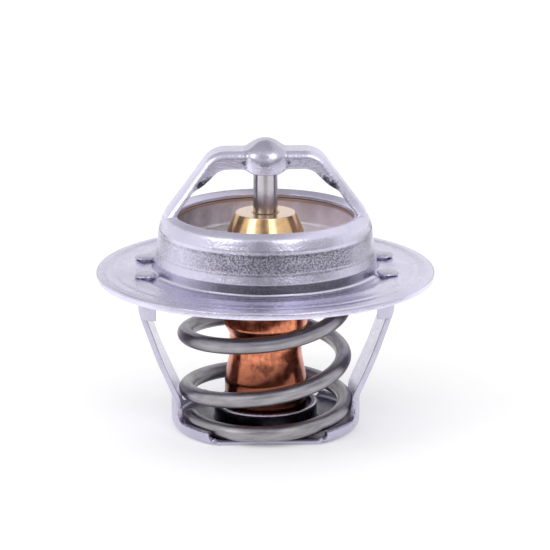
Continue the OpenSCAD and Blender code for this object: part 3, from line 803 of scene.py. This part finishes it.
# Heights of the leg's root, its turn above the pan and its turn below the head
ROOT_Z, LOW_TURN_Z, HIGH_TURN_Z = 3.3, 4.76, 17.8
# How far the heads reach into the flange, and their height
HEAD_SINK, HEAD_HIGH = 0.1, 5.3
# How far the peened heads lie outside the wings' middle, and above the top of the leg's head
PEEN_OUT, PEEN_UP = 0.15, 1.0
# Outline of a peened head: share of its half length, share of its height and corner radius
PEEN_SIDE = [
    *((0, 1, 0), (0.55, 0.97, 0.3), (0.92, 0.86, 0.12), (1.0, 0.55, 0.15)),
    *((0.93, 0.3, 0.05), (0.7, 0.2, 0.1), (0.66, -0.9, 0), (0, -0.9, 0)),
]
# The four peened heads: side along X, side along Y, turn and seed
PEENED_HEADS = [(1, -1, 0.35, 11), (1, 1, -0.1, 12), (-1, -1, -0.2, 13), (-1, 1, 0.15, 14)]


def pan_angles(s):
    """Column angles of a quarter of the pan, with one at each corner of its side outline."""
    r, y, cut = s["pan_r"], s["leg_w"] / 2, s["pan_flats"] / 2
    sines = [y / r, (y + ROOT_FILLET) / r, cut / r, cut / (r - PAN_BEND)]
    marks = [0, *(math.asin(v) for v in sines), math.pi / 2]
    parts = zip(marks, marks[1:], (9, 6, 14, 6, 16))
    return np.concatenate([np.linspace(a, b, n, endpoint=False) for a, b, n in parts]), marks


def pan_surface(s):
    """Underside of the pan and outside of its wall: the hole's lip comes down, bends out, runs
    flat and bends up. Straight cuts end it at the two flats."""
    first, marks = pan_angles(s)
    a = np.concatenate([first, math.pi - first[::-1], math.pi + first, TAU - first[::-1]])
    a = np.unique(np.round(np.append(a, [math.pi / 2, 1.5 * math.pi]), 9))
    a = a[a < TAU - 1e-6]
    r, hole, bend, cut = s["pan_r"], s["hole_r"], PAN_BEND, s["pan_flats"] / 2
    stop = cut / np.maximum(np.abs(np.sin(a)), 1e-6)
    stop = np.where(stop > r - 1e-6, r, stop)
    flat_end = np.minimum(stop, r - bend)
    last = np.arcsin(np.clip((stop - (r - bend)) / bend, 0, 1))
    rows = [(hole, z) for z in np.linspace(s["hole_lip_h"], bend, 7)[:-1]]
    for v in np.linspace(0, math.pi / 2, 9):
        rows.append((hole + bend - bend * math.cos(v), bend - bend * math.sin(v)))
    for v in np.linspace(0, 1, 13)[1:]:
        rows.append((hole + bend + (flat_end - hole - bend) * v, 0))
    for v in np.linspace(0, 1, 9)[1:]:
        rows.append((flat_end + bend * np.sin(last * v), bend - bend * np.cos(last * v)))
    rows_r, rows_z = (np.array([row[i] + 0 * a for row in rows]) for i in (0, 1))
    grid = surface(rows_r * np.cos(a), rows_r * np.sin(a), rows_z, wrap_columns=True)
    return grid, a, marks


def wall_angles(a, limit):
    """The column angles from -limit to limit, in order."""
    signed = np.where(a > math.pi, a - TAU, a)
    return np.sort(signed[np.abs(signed) <= limit + 1e-6])


def wall_surface(s, a, marks):
    """Pan wall between its two cuts: it rises from the bend to a low edge, and through a fillet
    to the leg's root."""
    cols = wall_angles(a, marks[3])
    r, y = s["pan_r"], np.abs(s["pan_r"] * np.sin(cols))
    foot, fillet, low = s["leg_w"] / 2, ROOT_FILLET, s["pan_wall_h"]
    in_fillet = low + fillet - np.sqrt(np.maximum(fillet**2 - (foot + fillet - y) ** 2, 0))
    top = np.where(y <= foot + 1e-6, low + fillet, np.where(y < foot + fillet, in_fillet, low))
    v = np.linspace(0, 1, 8)[:, None]
    return surface(r * np.cos(cols), r * np.sin(cols), PAN_BEND + (top - PAN_BEND) * v)


def leg_line(s, wing_z, top_z):
    """Heights and distances of the leg's outside: up from the pan, out at a lean of about 20
    degrees, and upright again in the head, with both corners rounded."""
    r, out = s["pan_r"], s["heads_span"] / 2
    corners = [(r, ROOT_Z, 0), (r, LOW_TURN_Z, 3.0), (out, HIGH_TURN_Z, 3.6), (out, top_z, 0)]
    line = rounded(corners, 12)
    z = np.concatenate([np.linspace(ROOT_Z, wing_z, 44), np.linspace(wing_z, top_z, 17)[1:]])
    return np.interp(z, line[:, 1], line[:, 0]), z


def leg_surface(s, a, marks, wing_z, top_z):
    """A leg and the web of its head: each row is a line across the strap. It is curved like
    the pan at the root and flat higher up, and its edges turn in where the wings begin."""
    x, z = leg_line(s, wing_z, top_z)
    y = s["pan_r"] * np.sin(wall_angles(a, marks[1]))
    curve = np.clip(1 - 1.6 * (z - ROOT_Z) / (wing_z - ROOT_Z), 0, 1) ** 1.5
    bow = curve[:, None] * (s["pan_r"] - np.sqrt(s["pan_r"] ** 2 - y**2))[None]
    past = np.clip(np.abs(y) - (s["head_w"] / 2 - WING_BEND), 0, None)
    tuck = WING_BEND - np.sqrt(WING_BEND**2 - past**2)
    tuck = smooth_step((z - wing_z + WING_BEND) / WING_BEND)[:, None] * tuck[None]
    return surface(x[:, None] - bow - tuck, y, z[:, None])


def wing_surface(s, wing_z, top_z, side):
    """A folded wing: the rest of the corner's arc and a flat run towards the axis."""
    x, z = leg_line(s, wing_z, top_z)
    keep = z >= wing_z - 1e-9
    x, z = x[keep], z[keep]
    bend, y = WING_BEND, s["head_w"] / 2
    v = np.linspace(math.asin((s["leg_w"] / 2 - (y - bend)) / bend), math.pi / 2, 8)
    arc_x = x[:, None] - bend + bend * np.cos(v)[None]
    arc_y = y - bend + bend * np.sin(v)[None] + 0 * arc_x
    u = np.linspace(0, 1, 7)[None, 1:]
    flat_x = arc_x[:, -1:] * (1 - u) + (s["heads_span"] / 2 - s["wing_reach"]) * u
    px, py = np.concatenate([arc_x, flat_x], 1), np.concatenate([arc_y, y + 0 * flat_x], 1)
    return surface(px, side * py, z[:, None])


def half_turn(grid):
    """The same surface turned by half a turn about the axis."""
    points, faces = grid
    return points * np.array([-1, -1, 1]), faces


def peened_head(centre, lengths, turn, seed, height):
    """The spread end of a tongue: a low button over an uneven oval. The oval's radius at angle a
    is a superellipse's times 1 plus small waves, and its side overhangs the flange slightly."""
    rng = np.random.default_rng(seed)
    a = np.linspace(0, TAU, 72, endpoint=False)
    waves = sum(
        rng.normal(0, 0.035 / k) * np.cos(k * a + rng.uniform(0, TAU)) for k in (2, 3, 4, 5, 7)
    )
    power = 2.6
    oval = (np.abs(np.cos(a)) ** power + np.abs(np.sin(a)) ** power) ** (-1 / power) * (1 + waves)
    side = outline(PEEN_SIDE, 5, 0.12, closed=False)
    reach, level = side[:, 0][None], side[:, 1][None]
    dents = 1 + 0.06 * np.cos(2 * a + rng.uniform(0, TAU))[:, None] * reach**2
    px = lengths[0] / 2 * oval[:, None] * np.cos(a)[:, None] * reach
    py = lengths[1] / 2 * oval[:, None] * np.sin(a)[:, None] * reach
    pz = level * height * np.where(level > 0, dents, 1)
    c, sn = math.cos(turn), math.sin(turn)
    points, faces = surface(c * px - sn * py, sn * px + c * py, pz, wrap_rows=True)
    return points + np.array(centre), faces


class THERMOSTAT_OT_lower_frame(bpy.types.Operator):
    """Pan, two legs and their heads, peened through the flange"""

    bl_idname = "thermostat.lower_frame"
    bl_label = "Lower Frame"

    def execute(self, context):
        s = millimetres(context.scene.thermostat_lower)
        finish = context.scene.thermostat_finishes
        top_z = UPPER_LOW[2] + HEAD_SINK
        wing_z = top_z - HEAD_HIGH
        pan, a, marks = pan_surface(s)
        right = [wall_surface(s, a, marks), leg_surface(s, a, marks, wing_z, top_z)]
        right += [wing_surface(s, wing_z, top_z, side) for side in (-1, 1)]
        left = [half_turn(grid) for grid in right]
        sheet = put_mesh("lower_frame_sheet", [pan, *right, *left])
        solid = sheet.modifiers.new("Sheet thickness", "SOLIDIFY")
        solid.thickness = s["sheet_t"] * MM
        solid.offset = -1
        solid.use_even_offset = True
        edge = sheet.modifiers.new("Sheared edges", "BEVEL")
        edge.width = 0.1 * MM
        edge.segments = 2
        edge.limit_method = "ANGLE"
        edge.angle_limit = math.radians(55)
        edge.use_clamp_overlap = False
        steel = plated_steel("leg_steel", finish.shaded_leg_plate, finish.plate_gloss, upper=False)
        dress(sheet, steel, "plain_steel", "frame", "lower_frame")
        tab_x = s["heads_span"] / 2 - s["wing_reach"] / 2 + PEEN_OUT
        tab_y = s["head_w"] / 2 - s["sheet_t"] / 2
        size = (s["peen_l"], s["peen_w"])
        heads = [
            peened_head((sx * tab_x, sy * tab_y, top_z + PEEN_UP), size, turn, seed, s["peen_h"])
            for sx, sy, turn, seed in PEENED_HEADS
        ]
        dress(put_mesh("lower_frame_peened_heads", heads), steel, "plain_steel", "frame")
        return {"FINISHED"}


# Spring


# Share of the coil's climb at each quarter turn, and the quarter turns where the wire is cut
RISE = [
    *(0, 0, 0.068, 0.128, 0.155, 0.233, 0.37, 0.468, 0.513),
    *(0.574, 0.692, 0.765, 0.83, 0.895, 0.95, 0.985, 1, 1),
]
WIRE_START, WIRE_END = 0.145, 16.5


def rise(u):
    """Share of the coil's climb after u quarter turns, as a smooth curve through RISE."""
    table = np.array(RISE)
    i = np.minimum(np.floor(u).astype(int), len(table) - 2)
    f = u - i
    a, b, c = table[np.maximum(i - 1, 0)], table[i], table[i + 1]
    d = table[np.minimum(i + 2, len(table) - 1)]
    return b + 0.5 * f * (c - a + f * (2 * a - 5 * b + 4 * c - d + f * (3 * (b - c) + d - a)))


def coil_surface(s, low, high, steps=700, sides=36):
    """Round wire carried along a right-handed coil. The centre is at angle 90u - 180 degrees
    and height low + (high - low) rise(u), and it drifts sideways along a parabola, as a coil
    does that was wound a little crooked. The section stands square to the path, and both ends
    are closed by a small rounded edge and a flat cut. Also gives each point's place along and
    across the wire."""
    wire, radius = s["wire_d"] / 2, s["coil_d"] / 2 - s["wire_d"] / 2
    u = np.linspace(WIRE_START, WIRE_END, steps)
    turn = np.radians(90 * u - 180)
    k = rise(u)
    drift = 0.2 - 1.4 * k + 1.2 * k**2
    height = low + (high - low) * k
    centre = np.stack([radius * np.cos(turn) + drift, radius * np.sin(turn), height], -1)
    out = np.stack([np.cos(turn), np.sin(turn), 0 * turn], -1)
    along = np.gradient(centre, axis=0)
    along /= np.linalg.norm(along, axis=1, keepdims=True)
    up = np.cross(out, along)
    up *= np.sign(up[:, 2:3])
    a = np.linspace(0, TAU, sides, endpoint=False)
    place = np.concatenate([[0], np.cumsum(np.linalg.norm(np.diff(centre, axis=0), axis=1))])
    spokes = np.cos(a)[None, :, None] * out[:, None] + np.sin(a)[None, :, None] * up[:, None]
    # Each ring's radius, and how far it lies beyond the last station
    rim = [(0.0, 0.25), (wire - 0.22, 0.25), (wire - 0.09, 0.22), (wire - 0.02, 0.13)]
    start = np.array([centre[0] - along[0] * past + r * spokes[0] for r, past in rim])
    end = np.array([centre[-1] + along[-1] * past + r * spokes[-1] for r, past in rim[::-1]])
    points = np.concatenate([start, centre[:, None] + wire * spokes, end])
    place = np.pad(place, len(rim), mode="edge")[:, None]
    tag = np.stack([place + 0 * a, wire * np.cos(a) + 0 * place, wire * np.sin(a) + 0 * place], -1)
    return points, skin(len(points), sides, False, True), tag


class THERMOSTAT_OT_spring(bpy.types.Operator):
    """Main spring of round drawn wire"""

    bl_idname = "thermostat.spring"
    bl_label = "Main Spring"

    def execute(self, context):
        s = millimetres(context.scene.thermostat_element)
        finish = context.scene.thermostat_finishes
        half = s["wire_d"] / 2
        points, faces, tag = coil_surface(s, SPRING_LOW[2] + half, SPRING_HIGH[2] - half)
        coil = put_mesh("main_spring_coil", [(points, faces)], {"wire_place": tag.reshape(-1, 3)})
        wire = drawn_wire("spring_wire", finish.wire, finish.wire_gloss)
        dress(coil, wire, "spring_wire", "frame", "main_spring")
        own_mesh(coil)
        return {"FINISHED"}


# Valve and wax element


# Waist of the cup: its lowest and highest place, the foot of its flare and the top of its slope
WAIST_LOW, WAIST_HIGH, FLARE_LOW, SLOPE_HIGH = 10.55, 13.65, 6.95, 14.95
CUP_WALL = 0.78
# Clearance between the cup and the guide in it, and of the piston in the guide's bore
CUP_GAP, BORE_GAP = 0.03, 0.05
# Radii of the disc's hole, the foot and the top of its hub, and the height of the hub
DISC_HOLE, HUB_FOOT, HUB_TOP, HUB_HIGH = 5.18, 9.4, 8.3, 1.5
# Radii of the guide's groove and body, and the height of its cone
GROOVE_R, BODY_R, CONE_HIGH = 4.35, 5.15, 2.7


def disc_outline(s):
    """Outline of the cupped disc: rim, wall, spring floor, slope and raised hub."""
    rim, t = DISC_HIGH[0], s["disc_t"]
    top, under = DISC_HIGH[2], DISC_LOW[2]
    floor, hub = under + t, under + t + HUB_HIGH
    below = [(DISC_HOLE, hub - t, 0.06), (8.02, hub - t, 0.5), (9.1, under, 0.8)]
    wall = [(rim, under, 1.0), (rim, top, 0.3), (rim - t, top, 0.3), (rim - t, floor, 0.6)]
    slope = [(HUB_FOOT, floor, 0.6), (HUB_TOP, hub, 0.6), (DISC_HOLE, hub, 0.12)]
    return outline(below + wall + slope, 8, 0.35)


def guide_outline(s):
    """Outline of the turned guide: bore, foot, groove, body and cone head."""
    low, high = GUIDE_LOW[2], GUIDE_HIGH[2]
    bore, cone, top = s["piston_d"] / 2 + BORE_GAP, s["cone_d"] / 2, s["cone_top_d"] / 2
    wide, neck = high - CONE_HIGH, high - CONE_HIGH - 0.5
    body = [(bore, low, 0.1), (4.85, low, 0.15), (GROOVE_R, WAIST_LOW, 0.3)]
    body += [(GROOVE_R, WAIST_HIGH + CUP_GAP, 0.3), (BODY_R, SLOPE_HIGH + CUP_GAP, 0.3)]
    head = [(BODY_R, neck, 0.1), (cone - 0.25, neck, 0.15), (cone, wide, 0.12), (top, high, 0.14)]
    head += [(bore + 0.3, high, 0.08), (bore, high - 0.3, 0.08)]
    return outline(body + head, 6, 0.3)


def cup_outline(s):
    """Outline of the drawn cup from its bottom up the outside, over its lip and down inside."""
    low, high = CUP_LOW[2], CUP_HIGH[2]
    r, waist, neck, t = s["cup_d"] / 2, s["waist_d"] / 2, CUP_HIGH[0], CUP_WALL
    outside = [(0, low, 0), (r, low, 1.6), (r, FLARE_LOW, 2.5), (waist, WAIST_LOW, 6.0)]
    outside += [(waist, WAIST_HIGH, 0.7), (neck, SLOPE_HIGH, 0.7), (neck, high, 0.2)]
    inside = [(neck - t, high, 0.2), (neck - t, SLOPE_HIGH, 0.5), (waist - t, WAIST_HIGH, 0.4)]
    inside += [(waist - t, WAIST_LOW, 0.6), (r - t, FLARE_LOW, 2.0), (r - t, low + t, 0.85)]
    return outline([*outside, *inside, (0, low + t, 0)], 8, 0.3, closed=False)


def piston_outline(s):
    """Outline of the piston: flat foot, ground side and the cone that sits in the boss."""
    low, high, r, cone = PISTON_LOW[2], PISTON_HIGH[2], s["piston_d"] / 2, 1.1
    foot = [(0, low, 0), (r - 0.3, low, 0.05), (r, low + 0.3, 0.1)]
    tip = [(r, high - cone, 0.2), (r - cone, high, 0.1), (0, high, 0)]
    return outline(foot + tip, 4, 0.4, closed=False)


class THERMOSTAT_OT_valve_disc(bpy.types.Operator):
    """Cupped valve disc"""

    bl_idname = "thermostat.valve_disc"
    bl_label = "Valve Disc"

    def execute(self, context):
        s = millimetres(context.scene.thermostat_element)
        disc = put_mesh("valve_disc_pressing", [turned(disc_outline(s), 256)])
        steel = disc_steel("disc_steel", context.scene.thermostat_finishes.disc)
        dress(disc, steel, "disc_steel", "element", "valve_disc")
        return {"FINISHED"}


class THERMOSTAT_OT_wax_element(bpy.types.Operator):
    """Brass guide and copper cup, with the boot and the wax inside"""

    bl_idname = "thermostat.wax_element"
    bl_label = "Wax Element"

    def execute(self, context):
        s = millimetres(context.scene.thermostat_element)
        finish = context.scene.thermostat_finishes
        guide = put_mesh("brass_guide_turning", [turned(guide_outline(s), 192)])
        brass = turned_brass("turned_brass", finish.brass)
        dress(guide, brass, "turned_brass", "element", "brass_guide")
        cup = put_mesh("copper_cup_drawing", [turned(cup_outline(s), 192, closed=False)])
        copper = drawn_copper("drawn_copper", finish.copper)
        dress(cup, copper, "drawn_copper", "element", "copper_cup")
        for node, material in (
            ("rubber_boot", moulded_rubber("black_rubber", finish.rubber)),
            ("wax_charge", packed_wax("wax", finish.wax)),
        ):
            cover(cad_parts[node], material)
        return {"FINISHED"}


class THERMOSTAT_OT_piston(bpy.types.Operator):
    """Ground piston that stands in the bridge's boss"""

    bl_idname = "thermostat.piston"
    bl_label = "Piston"

    def execute(self, context):
        s = millimetres(context.scene.thermostat_element)
        pin = put_mesh("piston_pin", [turned(piston_outline(s), 96, closed=False)])
        steel = ground_steel("ground_steel", context.scene.thermostat_finishes.piston)
        dress(pin, steel, "ground_steel", "frame", "piston")
        return {"FINISHED"}


# Stage


# Strength of the floor's own light for the camera, for mirrors and through glass
FLOOR_LIFT = 0.18
# Height of the floor and half its width, in millimetres
FLOOR_Z, FLOOR_HALF = -0.02, 3000.0
# Centre of the flange's top face in metres, at which the camera and the lamps look
MIDDLE = Vector((0, 0, 0.023))
# Upright cards for the metal to mirror, bent round the axis: name, finish, radius, lowest and
# highest place, first and last angle in degrees, with 0 in front and 90 at the right
CARDS = [
    ("front_card", "fading", 60.0, 13.6, 16.9, -70, 86),
    ("collar_card", "pale", 60.0, 16.9, 18.6, -70, 86),
    ("bridge_card", "pale", 60.0, 22.3, 24.7, -22, 22),
    ("boss_card", "grey", 60.0, 24.7, 45.0, -17, 17),
    ("flange_card", "dark", 61.0, 31.5, 36.5, -45, 60),
    ("lip_card", "pale", 62.0, 28.0, 52.0, -60, 75),
    ("back_card_right", "dark", 60.0, 18.5, 22.6, 112, 150),
    ("back_card_left", "dark", 60.0, 18.5, 22.6, 210, 248),
    ("cone_card", "grey", 400.0, 200.0, 430.0, -20, 8),
]
# Corners of the flat card over the object
TOP_CARD = [(-300, -190, 260), (60, -190, 260), (60, 520, 260), (-300, 520, 260)]
# Picture width, sensor width in millimetres and focal length in pixels, and how far the
# camera looks to the right of and below the middle, in millimetres
PICTURE_W, SENSOR_W, FOCAL = 550, 36, 3100
LOOK_RIGHT, LOOK_DOWN = 1.35, 1.02


def card_material(name, base, fading=False):
    """Matt card that only mirrors see. A fading one runs through pink to pale at its left end."""
    paint = Paint(name, base, 0.0, 0.9)
    tone = paint.blend(paint.noise(paint.here, 0.5, 2.0), tint(base, 0.8), tint(base, 1.2))
    if fading:
        bearing = paint.bearing()
        for low, high, shade in ((-55, -47, (0.42, 0.27, 0.27)), (-70, -58, (0.75, 0.75, 0.75))):
            end = paint.span(bearing, math.radians(low), math.radians(high), 1.0, 0.0)
            tone = paint.blend(end, tone, shade)
    return paint.finish(tone)


def studio_card(name, material, radius, low, high, first, last):
    """Upright card bent round the axis: the point at angle a is (r sin a, -r cos a, z)."""
    a = np.radians(np.linspace(first, last, 48))
    z = np.linspace(low, high, 4)[:, None]
    card = put_mesh(name, [surface(radius * np.sin(a), -radius * np.cos(a), z)])
    cover(card, material)
    return card


def floor_material(name, base):
    """Pale matt floor with a little light of its own. Seen from below it is clear, so that the
    pan's underside can be looked at."""
    paint = Paint(name, base, 0.0, 0.8)
    paint.finish(paint.blend(paint.noise(paint.here, 0.05, 3.0), tint(base, 0.99), base))
    rays = paint.add("LightPath", {}).node.outputs
    seen = paint.maths("MAXIMUM", rays["Is Camera Ray"], rays["Is Glossy Ray"])
    seen = paint.maths("MAXIMUM", seen, rays["Is Transmission Ray"])
    light = paint.add("Emission", {"Strength": paint.times(seen, FLOOR_LIFT)})
    lit = paint.add("AddShader", {0: paint.shader.outputs[0], 1: light})
    below = paint.add("NewGeometry", {}, "Backfacing")
    mixed = paint.add("MixShader", {0: below, 1: lit, 2: paint.add("BsdfTransparent", {})})
    paint.tree.links.new(mixed, paint.out.inputs["Surface"])
    return paint.material


def area_lamp(name, azimuth, elevation, distance, size, power):
    """Soft lamp that looks at the object's middle. Azimuth 0 is in front, 90 at the right."""
    data = bpy.data.lights.new(name, "AREA")
    data.shape = "RECTANGLE"
    data.size, data.size_y = size
    data.energy = power
    lamp = bpy.data.objects.new(name, data)
    a, e = math.radians(azimuth), math.radians(elevation)
    back = Vector((math.sin(a) * math.cos(e), -math.cos(a) * math.cos(e), math.sin(e)))
    lamp.location = MIDDLE + back * distance
    lamp.rotation_euler = (-back).to_track_quat("-Z", "Y").to_euler()
    bpy.context.scene.collection.objects.link(lamp)


def add_camera(scene, azimuth, elevation, distance):
    """Camera that looks down at the middle by its elevation, turned round it by its azimuth."""
    data = bpy.data.cameras.new("camera")
    data.sensor_fit = "HORIZONTAL"
    data.sensor_width = SENSOR_W
    data.lens = SENSOR_W * FOCAL / PICTURE_W
    data.dof.use_dof = False
    data.clip_start, data.clip_end = 0.02, 20
    camera = bpy.data.objects.new("camera", data)
    sine, cosine = math.sin(elevation), math.cos(elevation)
    turn = Matrix.Rotation(azimuth, 3, "Z")
    aside = turn @ Vector((LOOK_RIGHT, 0, 0)) + turn @ Vector((0, -sine, -cosine)) * LOOK_DOWN
    camera.location = MIDDLE + aside * MM - turn @ Vector((0, cosine, -sine)) * distance
    camera.rotation_euler = (math.pi / 2 - elevation, 0, azimuth)
    scene.collection.objects.link(camera)
    scene.camera = camera


class THERMOSTAT_OT_stage(bpy.types.Operator):
    """Pale floor, cards for the metal to mirror, two soft lamps, room light and the camera"""

    bl_idname = "thermostat.stage"
    bl_label = "Stage"

    def execute(self, context):
        scene = context.scene
        studio = scene.thermostat_studio
        h = FLOOR_HALF
        floor = quad("floor", [(x, y, FLOOR_Z) for x, y in ((-h, -h), (h, -h), (h, h), (-h, h))])
        if floor.data.polygons[0].normal.z < 0:
            floor.data.flip_normals()
        cover(floor, floor_material("floor", studio.floor))
        finishes = {
            "dark": card_material("dark_card", studio.dark_card),
            "fading": card_material("front_card", studio.dark_card, fading=True),
            "pale": card_material("pale_card", (0.58, 0.58, 0.58)),
            "grey": card_material("grey_card", (0.25, 0.25, 0.25)),
        }
        cards = [studio_card(name, finishes[kind], *place) for name, kind, *place in CARDS]
        cards.append(quad("top_card", TOP_CARD))
        cover(cards[-1], finishes["pale"])
        for card in cards:
            card.visible_camera = False
            card.visible_diffuse = False
            card.visible_shadow = False
            card.visible_transmission = False
        area_lamp("left_lamp", -54, 36, 0.55, (0.18, 0.30), studio.key)
        area_lamp("right_lamp", 24, 36, 0.55, (0.15, 0.30), studio.fill)
        world = bpy.data.worlds.new("room")
        world.use_nodes = True
        sky = world.node_tree.nodes["Background"]
        sky.inputs["Color"].default_value = (1, 1, 1, 1)
        sky.inputs["Strength"].default_value = studio.world
        scene.world = world
        add_camera(scene, studio.azimuth, studio.elevation, studio.distance)
        scene.view_settings.view_transform = "Standard"
        return {"FINISHED"}


# Panel and registration


class THERMOSTAT_PT_sidebar(bpy.types.Panel):
    """Lists the pieces, their sizes and finishes"""

    bl_idname = "THERMOSTAT_PT_sidebar"
    bl_label = "Engine Thermostat"
    bl_space_type = "VIEW_3D"
    bl_region_type = "UI"
    bl_category = "Thermostat"

    def draw(self, context):
        for name, _, operators in GROUPS:
            box = self.layout.box()
            group = getattr(context.scene, name)
            for key in group.bl_rna.properties.keys():
                if key not in ("rna_type", "name"):
                    box.prop(group, key)
            for operator in operators:
                box.operator(operator.bl_idname)


# The scene's settings: name, property group and the operators listed below them
GROUPS = [
    ("thermostat_upper", UpperFrameSizes, [THERMOSTAT_OT_upper_frame]),
    ("thermostat_lower", LowerFrameSizes, [THERMOSTAT_OT_lower_frame]),
    (
        "thermostat_element",
        ElementSizes,
        [
            THERMOSTAT_OT_spring,
            THERMOSTAT_OT_valve_disc,
            THERMOSTAT_OT_wax_element,
            THERMOSTAT_OT_piston,
        ],
    ),
    ("thermostat_finishes", Finishes, []),
    ("thermostat_studio", StudioSettings, [THERMOSTAT_OT_stage]),
]
LISTED = [*(operator for group in GROUPS for operator in group[2]), THERMOSTAT_PT_sidebar]


def register():
    for name, group, _ in GROUPS:
        bpy.utils.register_class(group)
        setattr(bpy.types.Scene, name, PointerProperty(type=group))
    for listed in LISTED:
        bpy.utils.register_class(listed)


def unregister():
    for listed in reversed(LISTED):
        bpy.utils.unregister_class(listed)
    for name, group, _ in GROUPS:
        delattr(bpy.types.Scene, name)
        bpy.utils.unregister_class(group)


def main():
    register()
    for operator in (
        bpy.ops.thermostat.upper_frame,
        bpy.ops.thermostat.lower_frame,
        bpy.ops.thermostat.spring,
        bpy.ops.thermostat.valve_disc,
        bpy.ops.thermostat.wax_element,
        bpy.ops.thermostat.piston,
        bpy.ops.thermostat.stage,
    ):
        operator()


if __name__ == "__main__":
    main()
